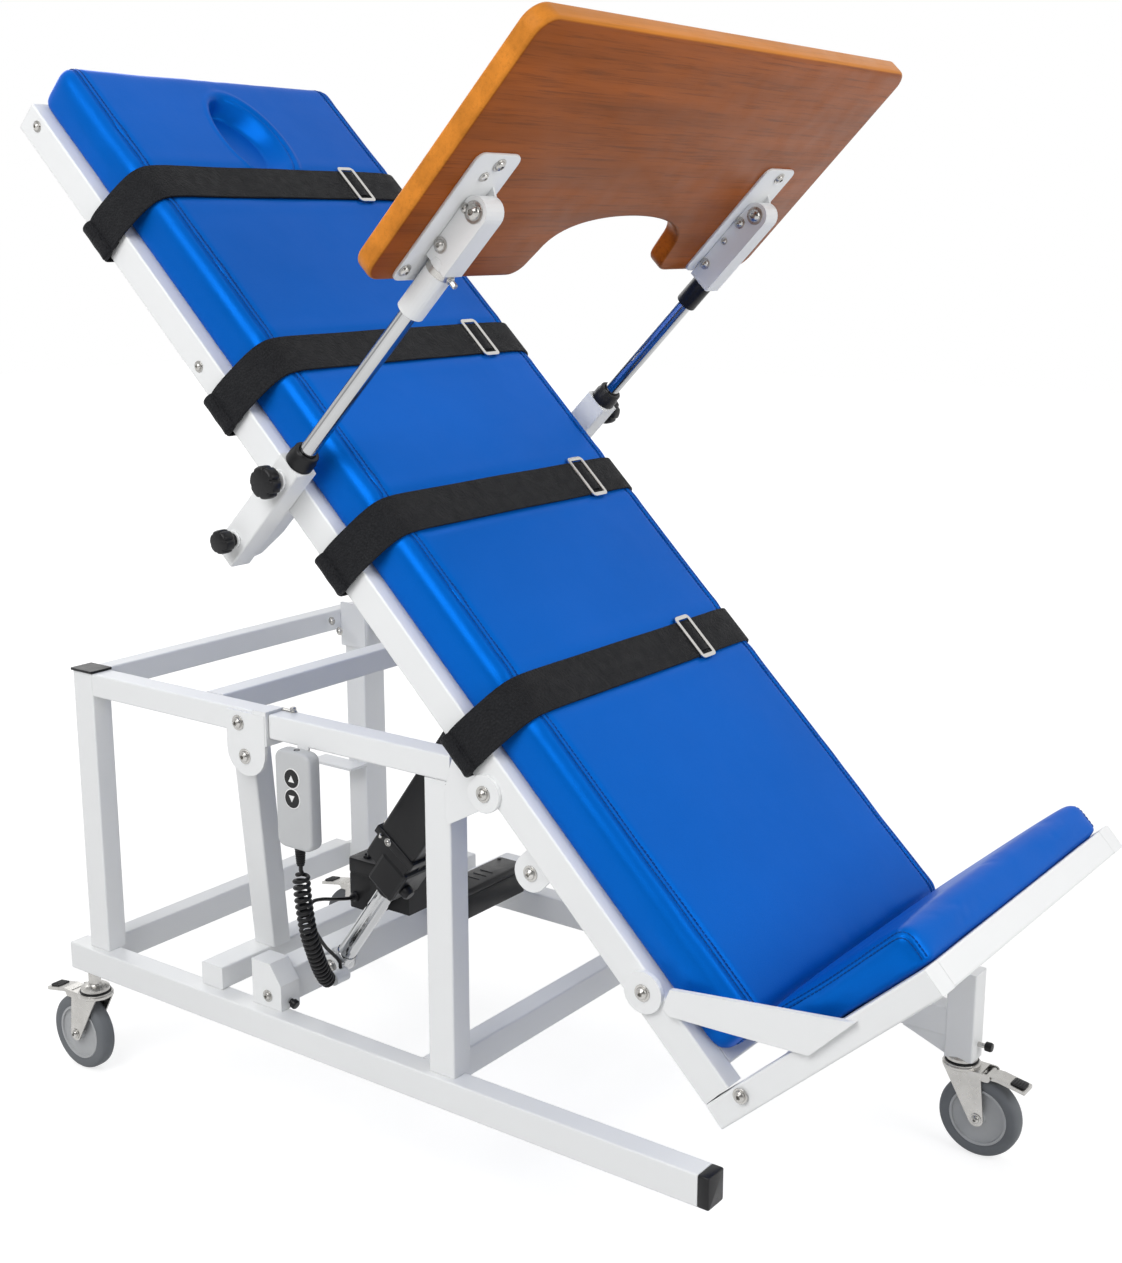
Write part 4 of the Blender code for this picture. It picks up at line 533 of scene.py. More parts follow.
def arc(x, y, radius, start, end, steps):
    """Flat points on part of a circle, between two angles in degrees."""
    points = []
    for step in range(steps + 1):
        angle = math.radians(start + (end - start) * step / steps)
        points.append((x + radius * math.cos(angle), y + radius * math.sin(angle)))
    return points


def rounded(width, height, radius, steps=4):
    """A rectangle's outline with round corners, about the origin."""
    x, y = width / 2 - radius, height / 2 - radius
    points = []
    for sx, sy, start in ((1, -1, -90), (1, 1, 0), (-1, 1, 90), (-1, -1, 180)):
        points += arc(sx * x, sy * y, radius, start, start + 90, steps)
    return points


def mirrored(half):
    """Half of a flat outline, followed by its mirror image across the second axis."""
    return [*half, *[(-a, b) for a, b in reversed(half)]]


def headings(line):
    """The direction of a line at each of its points."""
    before = [line[0], *line[:-1]]
    after = [*line[1:], line[-1]]
    return [(end - start).normalized() for start, end in zip(before, after)]


def smooth_route(points, count):
    """Evenly spaced points on one smooth curve through a route's own points, and its length."""
    points = [Vector(point) for point in points]
    padded = [2 * points[0] - points[1], *points, 2 * points[-1] - points[-2]]
    fine = []
    pieces = 24
    for a, b, c, d in zip(padded, padded[1:], padded[2:], padded[3:]):
        for step in range(pieces):
            t = step / pieces
            square = (2 * a - 5 * b + 4 * c - d) * t**2
            cube = (3 * b - a - 3 * c + d) * t**3
            fine.append(0.5 * (2 * b + (c - a) * t + square + cube))
    fine.append(points[-1])
    steps = [0.0]
    for first, second in zip(fine, fine[1:]):
        steps.append(steps[-1] + (second - first).length)
    wanted = np.linspace(0, steps[-1], count)
    axes = [np.interp(wanted, steps, [point[axis] for point in fine]) for axis in range(3)]
    return [Vector(point) for point in zip(*axes)], steps[-1]


class Form:
    """Points and faces of one piece, gathered from turned, cut and swept shapes."""

    def __init__(self, place=None):
        self.place = place or Matrix()
        self.points = []
        self.faces = []
        self.parts = []

    def add(self, points, faces, place=None, part=0):
        matrix = self.place @ (place or Matrix())
        start = len(self.points)
        self.points += [matrix @ Vector(point) for point in points]
        self.faces += [[start + index for index in face] for face in faces]
        self.parts += [part] * len(faces)

    def loft(self, rings, place=None, part=0, closed=False):
        """Joins rings of equal count, and caps the ends of an open row."""
        count = len(rings[0])
        faces = []
        for row in range(len(rings) - (not closed)):
            here, after = row * count, (row + 1) % len(rings) * count
            for index in range(count):
                other = (index + 1) % count
                faces.append((here + index, here + other, after + other, after + index))
        if not closed:
            faces.append(tuple(reversed(range(count))))
            faces.append(tuple(range((len(rings) - 1) * count, len(rings) * count)))
        self.add([point for ring in rings for point in ring], faces, place, part)

    def turned(self, profile, place=None, steps=24, notches=0, hexed=()):
        """Turns (radius, height) pairs about Z. Notches cut the rim, and hexed rows are six-sided."""
        rings = []
        most = max(radius for radius, _ in profile)
        for row, (radius, height) in enumerate(profile):
            ring = []
            for step in range(steps):
                angle = math.tau * step / steps
                reach = radius
                if notches and radius > 0.8 * most:
                    reach -= 0.13 * most * max(0.0, math.cos(notches * angle)) ** 6
                if row in hexed:
                    reach *= math.cos(math.pi / 6) / math.cos(angle % (math.pi / 3) - math.pi / 6)
                ring.append((reach * math.cos(angle), reach * math.sin(angle), height))
            rings.append(ring)
        self.loft(rings, place)

    def slab(self, width, height, radius, low, high, place=None, edge=0.0, steps=2):
        """A block with round corners between two heights, its rims rounded by edge."""
        rings = []
        for face, sign in ((low, 1), (high, -1)):
            rim = []
            for step in range(steps + 1):
                angle = math.pi / 2 * step / steps
                inset = edge * (1 - math.sin(angle))
                depth = edge * (1 - math.cos(angle))
                outline = rounded(width - 2 * inset, height - 2 * inset, max(0.0004, radius - inset))
                rim.append([(x, y, face + sign * depth) for x, y in outline])
            rings += rim[::sign]
        self.loft(rings, place)

    def plate(self, outline, low, high, place=None):
        """A flat outline given thickness."""
        self.loft([[(x, y, height) for x, y in outline] for height in (low, high)], place)

    def hollow(self, profile, place=None, steps=32):
        """Turns a closed outline of (radius, height) pairs about Z."""
        self.loft([circle(radius, height, steps) for radius, height in profile], place, closed=True)

    def swept(self, line, section):
        """A section carried along a line. Its first axis stays near X."""
        line = [Vector(point) for point in line]
        side = Vector((1, 0, 0))
        rings = []
        for point, ahead in zip(line, headings(line)):
            across = (side - ahead * side.dot(ahead)).normalized()
            up = ahead.cross(across)
            rings.append([point + across * a + up * b for a, b in section])
        self.loft(rings)

    def tube(self, line, radius, steps=10, part=0):
        """A round wire along a line, its frame carried without twist."""
        line = [Vector(point) for point in line]
        side = Vector((0.31, 0.55, 0.77))
        rings = []
        for point, ahead in zip(line, headings(line)):
            side = (side - ahead * side.dot(ahead)).normalized()
            other = ahead.cross(side)
            rings.append([point + a * side + b * other for a, b, _ in circle(radius, steps=steps)])
        self.loft(rings, part=part)

    def bolt(self, place, radius):
        """A dome bolt with a six-sided socket, on its washer."""
        rim, low = 1.36 * radius, 0.0014
        washer = [(rim - 0.0006, 0.0), (rim, 0.0004), (rim, 0.0012), (rim - 0.0004, 0.0016)]
        self.turned([*washer, (0.3 * radius, 0.0016)], place, 28)
        dome = [(0.98, 0.0), (1.0, 0.10)]
        for angle in (25, 45, 62):
            turn = math.radians(angle)
            dome.append((math.cos(turn), 0.10 + 0.55 * math.sin(turn)))
        socket = [(0.42, 0.63), (0.40, 0.60), (0.36, 0.22)]
        self.turned([(radius * a, low + radius * b) for a, b in dome + socket], place, 24, hexed=(6, 7))

    def piece(self, name, body, slot, *finishes, smooth=38.0, replaces=()):
        """Makes the object, which rides on its body and takes its finish from its slot."""
        mesh = bpy.data.meshes.new(name)
        mesh.from_pydata([tuple(point) for point in self.points], [], self.faces)
        mesh.polygons.foreach_set("material_index", self.parts)
        return settle(name, mesh, body, finishes or (SLOT_FINISH[slot],), smooth, replaces)


def face_outwards(mesh):
    bm = bmesh.new()
    bm.from_mesh(mesh)
    bmesh.ops.recalc_face_normals(bm, faces=bm.faces)
    bm.to_mesh(mesh)
    bm.free()


def settle(name, mesh, body, finishes, smooth, replaces=()):
    """Makes a mesh's object: its finishes and shading, its body, and the nodes it stands for."""
    face_outwards(mesh)
    for look in finishes:
        mesh.materials.append(finish(look))
    mesh.shade_smooth()
    mesh.set_sharp_from_angle(angle=math.radians(smooth))
    obj = bpy.data.objects.new(name, mesh)
    bpy.context.scene.collection.objects.link(obj)
    if body:
        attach(obj, body)
    if replaces:
        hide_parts(*replaces)
    return obj


# The stage


class TILTTABLE_OT_stage(bpy.types.Operator):
    """Camera at the standing viewer's angle, soft lamps, pale floor"""

    bl_idname = "tilt_table.stage"
    bl_label = "Stage"

    def execute(self, context):
        scene = context.scene
        lens = bpy.data.cameras.new("viewer")
        lens.lens = 49.0
        lens.sensor_width = 36.0
        lens.sensor_fit = "AUTO"
        scene.camera = self.aimed("viewer", lens, (2.42293, -1.80581, 1.49978), (0.8521, 0.3330, 0.8794))
        scene.view_settings.view_transform = "Standard"
        for name, place, target, size, power in (
            ("key_softbox", (0.9, -2.6, 3.1), (0.8, 0.2, 0.8), 2.6, 82.0),
            ("foot_softbox", (4.0, 0.3, 2.3), (0.9, 0.3, 0.8), 2.2, 46.0),
            ("head_softbox", (-2.4, 1.6, 2.8), (0.6, 0.3, 1.0), 2.2, 26.0),
        ):
            lamp = bpy.data.lights.new(name, "AREA")
            lamp.shape = "DISK"
            lamp.size = size
            lamp.energy = power
            self.aimed(name, lamp, place, target)
        self.sky(scene)
        self.floor(scene)
        return {"FINISHED"}

    def aimed(self, name, data, place, target):
        """Stands a camera or lamp at a place of the base's frame, looking at its target."""
        holder = bpy.data.objects.new(name, data)
        bpy.context.scene.collection.objects.link(holder)
        holder.location = BASE @ Vector(place)
        look = (BASE @ Vector(target)) - holder.location
        holder.rotation_euler = look.to_track_quat("-Z", "Y").to_euler()
        return holder

    def seen(self, tree):
        """1 for rays from the camera, from gloss and through glass."""
        rays = node(tree, "LightPath").outputs
        either = node(tree, "Math", rays["Is Camera Ray"], rays["Is Glossy Ray"], operation="MAXIMUM")
        through = rays["Is Transmission Ray"]
        return node(tree, "Math", either.outputs[0], through, operation="MAXIMUM").outputs[0]

    def backdrop(self, tree):
        """1 before the camera, and less in gloss for the dim room behind it."""
        space = node(tree, "TexCoord").outputs["Generated"]
        way = node(tree, "VectorMath", space, operation="DOT_PRODUCT")
        way.inputs[1].default_value = Vector((-0.58, 0.80, 0.25)).normalized()
        edges = {"From_Min": -0.45, "From_Max": 0.30, "To_Min": 0.93, "To_Max": 0.0}
        room = node(tree, "MapRange", way.outputs["Value"], **edges)
        gloss = node(tree, "LightPath").outputs["Is Glossy Ray"]
        dim = node(tree, "Math", room.outputs["Result"], gloss, operation="MULTIPLY")
        left = node(tree, "Math", operation="SUBTRACT")
        left.inputs[0].default_value = 1.0
        tree.links.new(dim.outputs[0], left.inputs[1])
        return left.outputs[0]

    def sky(self, scene):
        """Even light on the table, seen as plain white."""
        scene.world = bpy.data.worlds.new("studio")
        scene.world.use_nodes = True
        tree = scene.world.node_tree
        plain = (1.0, 1.0, 1.0, 1.0)
        light = tree.nodes["Background"]
        light.inputs["Color"].default_value = plain
        light.inputs["Strength"].default_value = 0.50
        white = node(tree, "Background", Color=plain)
        tree.links.new(self.backdrop(tree), white.inputs["Strength"])
        mix = node(tree, "MixShader", self.seen(tree), light.outputs[0], white.outputs[0])
        tree.links.new(mix.outputs[0], tree.nodes["World Output"].inputs["Surface"])

    def floor(self, scene):
        """A pale floor that keeps the table's shadow and fades to white far off."""
        bm = bmesh.new()
        bmesh.ops.create_grid(bm, x_segments=8, y_segments=8, size=14.0)
        mesh = bpy.data.meshes.new("floor")
        bm.to_mesh(mesh)
        bm.free()
        material = bpy.data.materials.new("pale_floor")
        material.use_nodes = True
        tree = material.node_tree
        tree.nodes.remove(tree.nodes["Principled BSDF"])
        plain = node(tree, "BsdfDiffuse", Color=(0.62, 0.62, 0.62, 1.0))
        shaded = node(tree, "BsdfDiffuse", Color=(0.40, 0.40, 0.40, 1.0))
        away = node(tree, "VectorMath", node(tree, "TexCoord").outputs["Object"], operation="LENGTH")
        fade = {"From_Min": 1.3, "From_Max": 5.0, "To_Min": 0.74, "To_Max": 0.98}
        rise = node(tree, "MapRange", away.outputs["Value"], **fade)
        glow = node(tree, "Emission")
        tree.links.new(rise.outputs["Result"], glow.inputs["Strength"])
        lit = node(tree, "AddShader", shaded.outputs[0], glow.outputs[0])
        mix = node(tree, "MixShader", self.seen(tree), plain.outputs[0], lit.outputs[0])
        tree.links.new(mix.outputs[0], tree.nodes["Material Output"].inputs["Surface"])
        mesh.materials.append(material)
        floor = bpy.data.objects.new("floor", mesh)
        floor.location.z = -0.0008
        scene.collection.objects.link(floor)


# Cords: the handset's curly cord and the motor's straight lead

CORD_RADIUS = 0.0033
LEAD_RADIUS = 0.0030
CURL_RADIUS = 0.0112
CURL_COUNT = 26
CURL_RAMP = 0.014
CURLY_ROUTE = (
    (0.592, -0.0013, 0.5297),
    (0.592, -0.0013, 0.5150),
    (0.5935, -0.0003, 0.4750),
    (0.5940, 0.0040, 0.4400),
    (0.5910, 0.0130, 0.4070),
    (0.5830, 0.0330, 0.3660),
    (0.5720, 0.0560, 0.3290),
    (0.5620, 0.0780, 0.3020),
    (0.5565, 0.0905, 0.2928),
    (0.5560, 0.0977, 0.2920),
)
LEAD_ROUTE = (
    (0.5560, 0.1170, 0.3049),
    (0.5555, 0.1160, 0.3170),
    (0.5530, 0.1040, 0.3330),
    (0.5560, 0.0840, 0.3540),
    (0.5640, 0.0590, 0.3850),
    (0.5700, 0.0400, 0.4150),
    (0.5715, 0.0350, 0.4360),
    (0.5660, 0.0470, 0.4470),
    (0.5560, 0.0790, 0.4390),
    (0.5450, 0.1200, 0.4230),
    (0.5360, 0.1600, 0.4090),
    (0.5347, 0.1700, 0.4065),
    (0.5346, 0.1797, 0.4060),
)


class TILTTABLE_OT_cords(bpy.types.Operator):
    """The handset's curly cord with its ribbed relief, and the lead from the socket to the motor"""

    bl_idname = "tilt_table.cords"
    bl_label = "Cords"

    def execute(self, context):
        points = self.curly_points(sizes().curl_points)
        curve = bpy.data.curves.new("curly_wire", "CURVE")
        curve.dimensions = "3D"
        curve.bevel_depth = CORD_RADIUS
        curve.bevel_resolution = 3
        curve.use_fill_caps = True
        curve.materials.append(finish("cord_cover"))
        spline = curve.splines.new("POLY")
        spline.points.add(len(points) - 1)
        for target, point in zip(spline.points, points):
            target.co = (*(BASE @ point), 1)
        spline.use_smooth = True
        cord = bpy.data.objects.new("curly_wire", curve)
        context.scene.collection.objects.link(cord)
        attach(cord, "base")
        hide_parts("curly_cord")
        line, reach = smooth_route(LEAD_ROUTE, 34)
        lead = Form(BASE)
        lead.tube(line, LEAD_RADIUS, steps=12)
        wire = lead.piece(
            "motor_wire", None, "black_plastic", "cord_cover", smooth=60, replaces=("motor_lead",)
        )
        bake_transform(wire)
        return {"FINISHED"}

    def curly_points(self, per_turn):
        """A helix round the cord's route that starts and ends as a straight wire."""
        count = CURL_COUNT * per_turn
        centre, length = smooth_route(CURLY_ROUTE, count + 1)
        straight = 2.2 * CORD_RADIUS / length
        ramp = CURL_RAMP / length
        side = Vector((1, 0, 0))
        points = []
        for number, (place, ahead) in enumerate(zip(centre, headings(centre))):
            along = number / count
            side = (side - ahead * side.dot(ahead)).normalized()
            other = ahead.cross(side)
            from_end = min(along, 1 - along)
            share = min(1.0, max(0.0, (from_end - straight) / ramp))
            radius = CURL_RADIUS * share * share * (3 - 2 * share)
            angle = math.tau * number / per_turn
            points.append(place + radius * (math.cos(angle) * side + math.sin(angle) * other))
        return points


# Frame


class TILTTABLE_OT_frame(bpy.types.Operator):
    """Finishes on the solids that keep their own shape"""

    bl_idname = "tilt_table.frame"
    bl_label = "Frame finishes"

    def execute(self, context):
        record = frame["record"]
        slots = {row["node"]: row["material_slot"] for row in record["subparts"]}
        for name, obj in frame["nodes"].items():
            obj.data.materials.clear()
            obj.data.materials.append(finish(SLOT_FINISH[slots[name]]))
        return {"FINISHED"}


class TILTTABLE_OT_caps(bpy.types.Operator):
    """Black end caps of the tubes, and the plain seals where the tubes end"""

    bl_idname = "tilt_table.caps"
    bl_label = "Tube caps"

    def execute(self, context):
        caps = Form(BASE)
        caps.slab(0.0560, 0.0460, 0.003, 0.7600, 0.7645, moved(0.0667, 0.032, 0), 0.0012)
        toe = moved(1.3262, 0.020, 0.225) @ TOWARDS_FOOT
        caps.slab(0.0402, 0.0500, 0.0035, 0.0, 0.0186, toe, 0.0026)
        caps.piece("tube_caps", "base", "black_plastic", replaces=("near_rail_cap",))
        return {"FINISHED"}


# Soft goods


def surface_tree(obj):
    mesh = obj.data
    return BVHTree.FromPolygons([v.co for v in mesh.vertices], [list(p.vertices) for p in mesh.polygons])


def pad_mesh(name, size, cell, plan, top, bottom, crown, waist):
    """A closed cushion about the origin: round corners and rims, a crowned top and drawn-in sides."""
    counts = [max(2, round(size[axis] / cell)) for axis in range(3)]
    half = [part / 2 for part in size]
    found, points, faces = {}, [], []

    def corner(key):
        if key not in found:
            found[key] = len(points)
            points.append([size[axis] * key[axis] / counts[axis] - half[axis] for axis in range(3)])
        return found[key]

    for axis in range(3):
        first, second = [other for other in range(3) if other != axis]
        for level in (0, counts[axis]):
            for i in range(counts[first]):
                for j in range(counts[second]):
                    face = []
                    for di, dj in ((0, 0), (1, 0), (1, 1), (0, 1)):
                        key = [0, 0, 0]
                        key[axis], key[first], key[second] = level, i + di, j + dj
                        face.append(corner(tuple(key)))
                    faces.append(face)
    for point in points:
        x, y, z = point
        dx = max(0.0, abs(x) - half[0] + plan)
        dy = max(0.0, abs(y) - half[1] + plan)
        reach = max(dx, dy)
        inset = plan - reach
        upper = z > 0
        rim = top if upper else bottom
        depth = half[2] - abs(z)
        along = inset - depth
        if min(inset, depth) < 1e-6 and abs(along) < rim:
            angle = (along + rim) / (2 * rim) * math.pi / 2
            inset = rim * (1 - math.cos(angle))
            depth = rim * (1 - math.sin(angle))
        across = z / half[2]
        shares = [min(1.0, abs(x) / half[0]), min(1.0, abs(y) / half[1])]
        if reach > 0:
            inset += waist * (1 - across * across)
            spread = math.hypot(dx, dy)
            point[0] = math.copysign(min(abs(x), half[0] - plan) + dx / spread * (plan - inset), x)
            point[1] = math.copysign(min(abs(y), half[1] - plan) + dy / spread * (plan - inset), y)
        point[2] = math.copysign(half[2] - depth, z) if depth < half[2] else z
        if upper:
            point[2] += crown * (1 - shares[0] ** 6) * (1 - shares[1] ** 4) * across
    mesh = bpy.data.meshes.new(name)
    mesh.from_pydata(points, [], faces)
    face_outwards(mesh)
    return mesh


def refined(mesh, chosen, cuts):
    """Divides the faces whose middles are chosen."""
    bm = bmesh.new()
    bm.from_mesh(mesh)
    edges = {edge for face in bm.faces if chosen(face.calc_center_median()) for edge in face.edges}
    bmesh.ops.subdivide_edges(bm, edges=list(edges), cuts=cuts, use_grid_fill=True)
    bm.to_mesh(mesh)
    bm.free()


CLOTH_FRAMES = 14


def filled(mesh, pressure, cap):
    """The cover blown tight over its foam: a short cloth run, each point held to a small move."""
    scene = bpy.context.scene
    obj = bpy.data.objects.new("blown", mesh)
    scene.collection.objects.link(obj)
    start = np.array([v.co for v in mesh.vertices], float)
    cloth = obj.modifiers.new("cloth", "CLOTH")
    cloth.settings.use_pressure = True
    cloth.settings.uniform_pressure_force = pressure
    cloth.settings.effector_weights.gravity = 0.0
    cloth.settings.quality = 4
    cloth.collision_settings.use_collision = False
    for step in range(1, CLOTH_FRAMES + 1):
        scene.frame_set(step)
    graph = bpy.context.evaluated_depsgraph_get()
    shape = obj.evaluated_get(graph).to_mesh()
    end = np.array([v.co for v in shape.vertices], float)
    obj.evaluated_get(graph).to_mesh_clear()
    move = end - start
    length = np.linalg.norm(move, axis=1, keepdims=True)
    move *= np.minimum(1.0, cap / np.maximum(length, 1e-9))
    obj.modifiers.clear()
    scene.frame_set(1)
    mesh.vertices.foreach_set("co", (start + move).astype(np.float32).ravel())
    mesh.update()
    smooth = obj.modifiers.new("smooth", "SUBSURF")
    smooth.levels = smooth.render_levels = 1
    graph = bpy.context.evaluated_depsgraph_get()
    made = bpy.data.meshes.new_from_object(obj.evaluated_get(graph))
    bpy.data.objects.remove(obj)
    return made


# Shares of a seam's half width and of a stitch's half length, each with its height off the surface
WELT = ((-1.0, -0.0012), (-0.72, 0.0006), (0.0, 0.0011), (0.72, 0.0006), (1.0, -0.0012))
STITCH = ((-1, -0.0006), (-0.6, 0.0002), (0.6, 0.0002), (1, -0.0006))
STITCH_RADIUS = 0.0007


def seam(form, tree, line, out, stitch, gap=0.0036):
    """A double seam laid on a surface: a low welt between two rows of stitches."""
    length = sum((b - a).length for a, b in zip(line, line[1:]))
    dense, _ = smooth_route(line, max(8, round(length / 0.006)))
    laid = []
    for point in dense:
        place, normal, _, _ = tree.find_nearest(point)
        laid.append((place, normal if normal.dot(out(place)) > 0 else -normal))
    for _ in range(3):
        inner = []
        for before, now, after in zip(laid, laid[1:], laid[2:]):
            place = (before[0] + 2 * now[0] + after[0]) / 4
            inner.append((place, (before[1] + 2 * now[1] + after[1]).normalized()))
        laid = [laid[0], *inner, laid[-1]]
    welt = []
    for (place, normal), ahead in zip(laid, headings([place for place, _ in laid])):
        across = ahead.cross(normal).normalized()
        welt.append([place + across * gap * share + normal * height for share, height in WELT])
    form.loft(welt)
    count = max(2, round(length / stitch))
    half = 0.36 * stitch
    for number in range(count):
        share = (number + 0.5) / count * (len(laid) - 1)
        index = min(int(share), len(laid) - 2)
        (place, normal), (next_place, next_normal) = laid[index : index + 2]
        ahead = (next_place - place).normalized()
        place = place.lerp(next_place, share - index)
        normal = normal.lerp(next_normal, share - index).normalized()
        across = ahead.cross(normal).normalized()
        for side in (-1, 1):
            middle = place + across * side * (gap + 0.0013) + normal * 0.0003
            thread = [middle + ahead * along * half + normal * rise for along, rise in STITCH]
            form.tube(thread, STITCH_RADIUS, steps=5, part=1)


def sewn(seams, name, pad):
    """Makes the object of a cushion's seams."""
    # The stitches take the dark thread finish, which carries painted shade of the seam grooves
    seams.piece(name, "table", "blue_vinyl", "padded_vinyl", "thread_and_groove_shade", smooth=60).parent = pad


class TILTTABLE_OT_mattress(bpy.types.Operator):
    """The mattress: vinyl over firm foam, with its face recess, strap marks and double seams"""

    bl_idname = "tilt_table.mattress"
    bl_label = "Mattress"

    recess_x: FloatProperty(
        name="Recess place",
        description="Middle of the face recess along the top",
        default=-1.159,
        unit="LENGTH",
    )
    recess_long: FloatProperty(
        name="Recess half length",
        description="Half of the face recess's length",
        default=0.100,
        unit="LENGTH",
    )
    recess_wide: FloatProperty(
        name="Recess half width",
        description="Half of the face recess's width",
        default=0.064,
        unit="LENGTH",
    )
    recess_deep: FloatProperty(
        name="Recess depth",
        description="Depth of the face recess",
        default=0.036,
        unit="LENGTH",
    )

    def execute(self, context):
        size = (PAD_X[1] - PAD_X[0], PAD_Y[1] - PAD_Y[0], PAD_Z[1] - PAD_Z[0])
        centre = Vector([(low + high) / 2 for low, high in (PAD_X, PAD_Y, PAD_Z)])
        cell = sizes().pad_cell
        rims = {"plan": 0.030, "top": 0.024, "bottom": 0.010}
        mesh = pad_mesh("mattress_cover", size, cell, **rims, crown=sizes().pad_crown, waist=0.0010)
        mesh = filled(mesh, pressure=1.2, cap=0.0025)
        mesh.name = "mattress_cover"
        inset = sizes().seam_inset
        seam_y = (PAD_Y[0] + inset - centre.y, PAD_Y[1] - inset - centre.y)
        refined(mesh, lambda p: p.z > 0 and min(abs(p.y - y) for y in seam_y) < 0.0125, 1)
        refined(mesh, lambda p: p.z > 0 and self.reach(p.x + centre.x, p.y) < 1.35, 2)
        points = np.array([v.co for v in mesh.vertices], float) + np.array(centre)
        points = self.worked(points, centre.y)
        matrix = np.array(TOP)
        placed = points @ matrix[:3, :3].T + matrix[:3, 3]
        mesh.vertices.foreach_set("co", placed.astype(np.float32).ravel())
        mesh.update()
        pad = settle("mattress_cover", mesh, "table", ("padded_vinyl",), 60, ("mattress",))
        tree = surface_tree(pad)
        seams = Form()
        middle = TOP @ centre
        upwards = TOP.to_3x3() @ Vector((0, 0, 1))
        steps = 60

        def outwards(place):
            return upwards + 0.5 * (place - middle).normalized()

        for y in (PAD_Y[0] + inset, PAD_Y[1] - inset):
            line = [TOP @ Vector((PAD_X[0] - 0.002, y, PAD_Z[0] + 0.020))]
            for step in range(steps + 1):
                x = PAD_X[0] + 0.010 + (size[0] - 0.020) * step / steps
                line.append(TOP @ Vector((x, y, PAD_Z[1] + 0.010)))
            line.append(TOP @ Vector((PAD_X[1] + 0.002, y, PAD_Z[0] + 0.020)))
            seam(seams, tree, line, outwards, sizes().stitch)
        sewn(seams, "mattress_seams", pad)
        return {"FINISHED"}

    def reach(self, x, across):
        """1 on the rim of the face recess, less inside it."""
        return math.hypot((x - self.recess_x) / self.recess_long, across / self.recess_wide)

    def worked(self, points, middle_y):
        """Face recess, marks of the straps and the slow unevenness of hand-laid foam."""
        x, y, z = points.T
        upper = np.clip((z - PAD_Z[0] - 0.03) / 0.03, 0, 1)
        rise = np.array([noise.noise(Vector((a * 6.0, b * 7.0, c * 4.0))) for a, b, c in points])
        z = z + upper * 0.0010 * rise
        along = (x - self.recess_x) / self.recess_long
        across = (y - middle_y) / self.recess_wide
        reach = np.sqrt(along**2 + across**2)
        crisp = np.clip(0.45 - 0.5 * along - 0.5 * across, 0, 1)
        wall = np.clip((1.01 - reach) / (0.60 - 0.48 * crisp), 0, 1)
        bowl = wall * wall * (3 - 2 * wall)
        z = z - upper * self.recess_deep * 0.92 * bowl * (0.86 - 0.26 * along)
        swell = 0.0014 * np.exp(-(((reach - 1.10) / 0.06) ** 2))
        crease = 0.0030 * np.exp(-(((reach - 1.0) / 0.03) ** 2))
        z = z + upper * (swell - crease)
        for place in STRAP_X:
            away = np.abs(x - place)
            press = 1 / (1 + np.exp((away - 0.037) / 0.0045))
            edge = np.exp(-(((away - 0.050) / 0.012) ** 2))
            z = z - upper * (0.0018 * press - 0.0006 * edge)
            z = np.where(press > 0.5, np.minimum(z, 0.1300), z)
        for y_edge, sign in ((PAD_Y[0], 1), (PAD_Y[1], -1)):
            away = sign * (y - y_edge) - sizes().seam_inset
            groove = 0.0026 * np.exp(-((away / 0.0085) ** 4)) - 0.0014 * np.exp(-((away / 0.0032) ** 2))
            z = z - upper * groove
        return np.stack([x, y, z], 1)


class TILTTABLE_OT_foot_cushion(bpy.types.Operator):
    """The footplate's cushion with the seam round its near panel"""

    bl_idname = "tilt_table.foot_cushion"
    bl_label = "Footplate cushion"

    def execute(self, context):
        low, high, thick = 0.138, 0.402, 0.052
        size = (high - low, PAD_Y[1] - PAD_Y[0], thick)
        rims = {"plan": 0.024, "top": 0.020, "bottom": 0.008}
        mesh = pad_mesh("foot_cover", size, cell=0.0085, **rims, crown=0.005, waist=0.0022)
        mesh = filled(mesh, pressure=1.6, cap=0.0030)
        mesh.name = "foot_cover"
        stood = Matrix.Rotation(-math.pi / 2, 4, "Y")
        place = FOOT @ moved(-0.0003 - thick / 2, sum(PAD_Y) / 2, (low + high) / 2) @ stood
        mesh.transform(place)
        pad = settle("foot_cover", mesh, "table", ("padded_vinyl",), 60, ("footplate_cushion",))
        tree = surface_tree(pad)
        middle = place.translation
        seams = Form()
        for y in (PAD_Y[0] + 0.006, PAD_Y[1] - 0.006):
            line = [(-0.020, y, low + 0.004)]
            line += [(-0.052, y, low + 0.012 + (high - low - 0.030) * step / 24) for step in range(25)]
            line += [(-0.046, y, high - 0.005), (-0.030, y, high), (-0.008, y, high)]
            line = [FOOT @ Vector(point) for point in line]
            seam(seams, tree, line, lambda point: point - middle, sizes().stitch, gap=0.0026)
        sewn(seams, "foot_seams", pad)
        return {"FINISHED"}


# Near half of a strap's line over the mattress, and the short loop round the rail, in Y and Z of the top
STRAP_TOP = 0.1327
STRAP_RISE = (
    (-0.0455, 0.0150),
    (-0.0468, 0.0230),
    (-0.0462, 0.0360),
    (-0.0425, 0.0560),
    (-0.0362, 0.0800),
    (-0.0290, 0.1010),
    (-0.0195, 0.1180),
    (-0.0060, 0.1280),
    (0.0120, STRAP_TOP - 0.0010),
    (0.0360, STRAP_TOP),
)
STRAP_LOOP = (
    (-0.0060, -0.0042),
    (-0.0200, -0.0048),
    (-0.0340, -0.0058),
    (-0.0440, -0.0050),
    (-0.0500, 0.0010),
    (-0.0515, 0.0090),
    (-0.0490, 0.0160),
    (-0.0445, 0.0205),
    (-0.0422, 0.0270),
    (-0.0418, 0.0340),
)


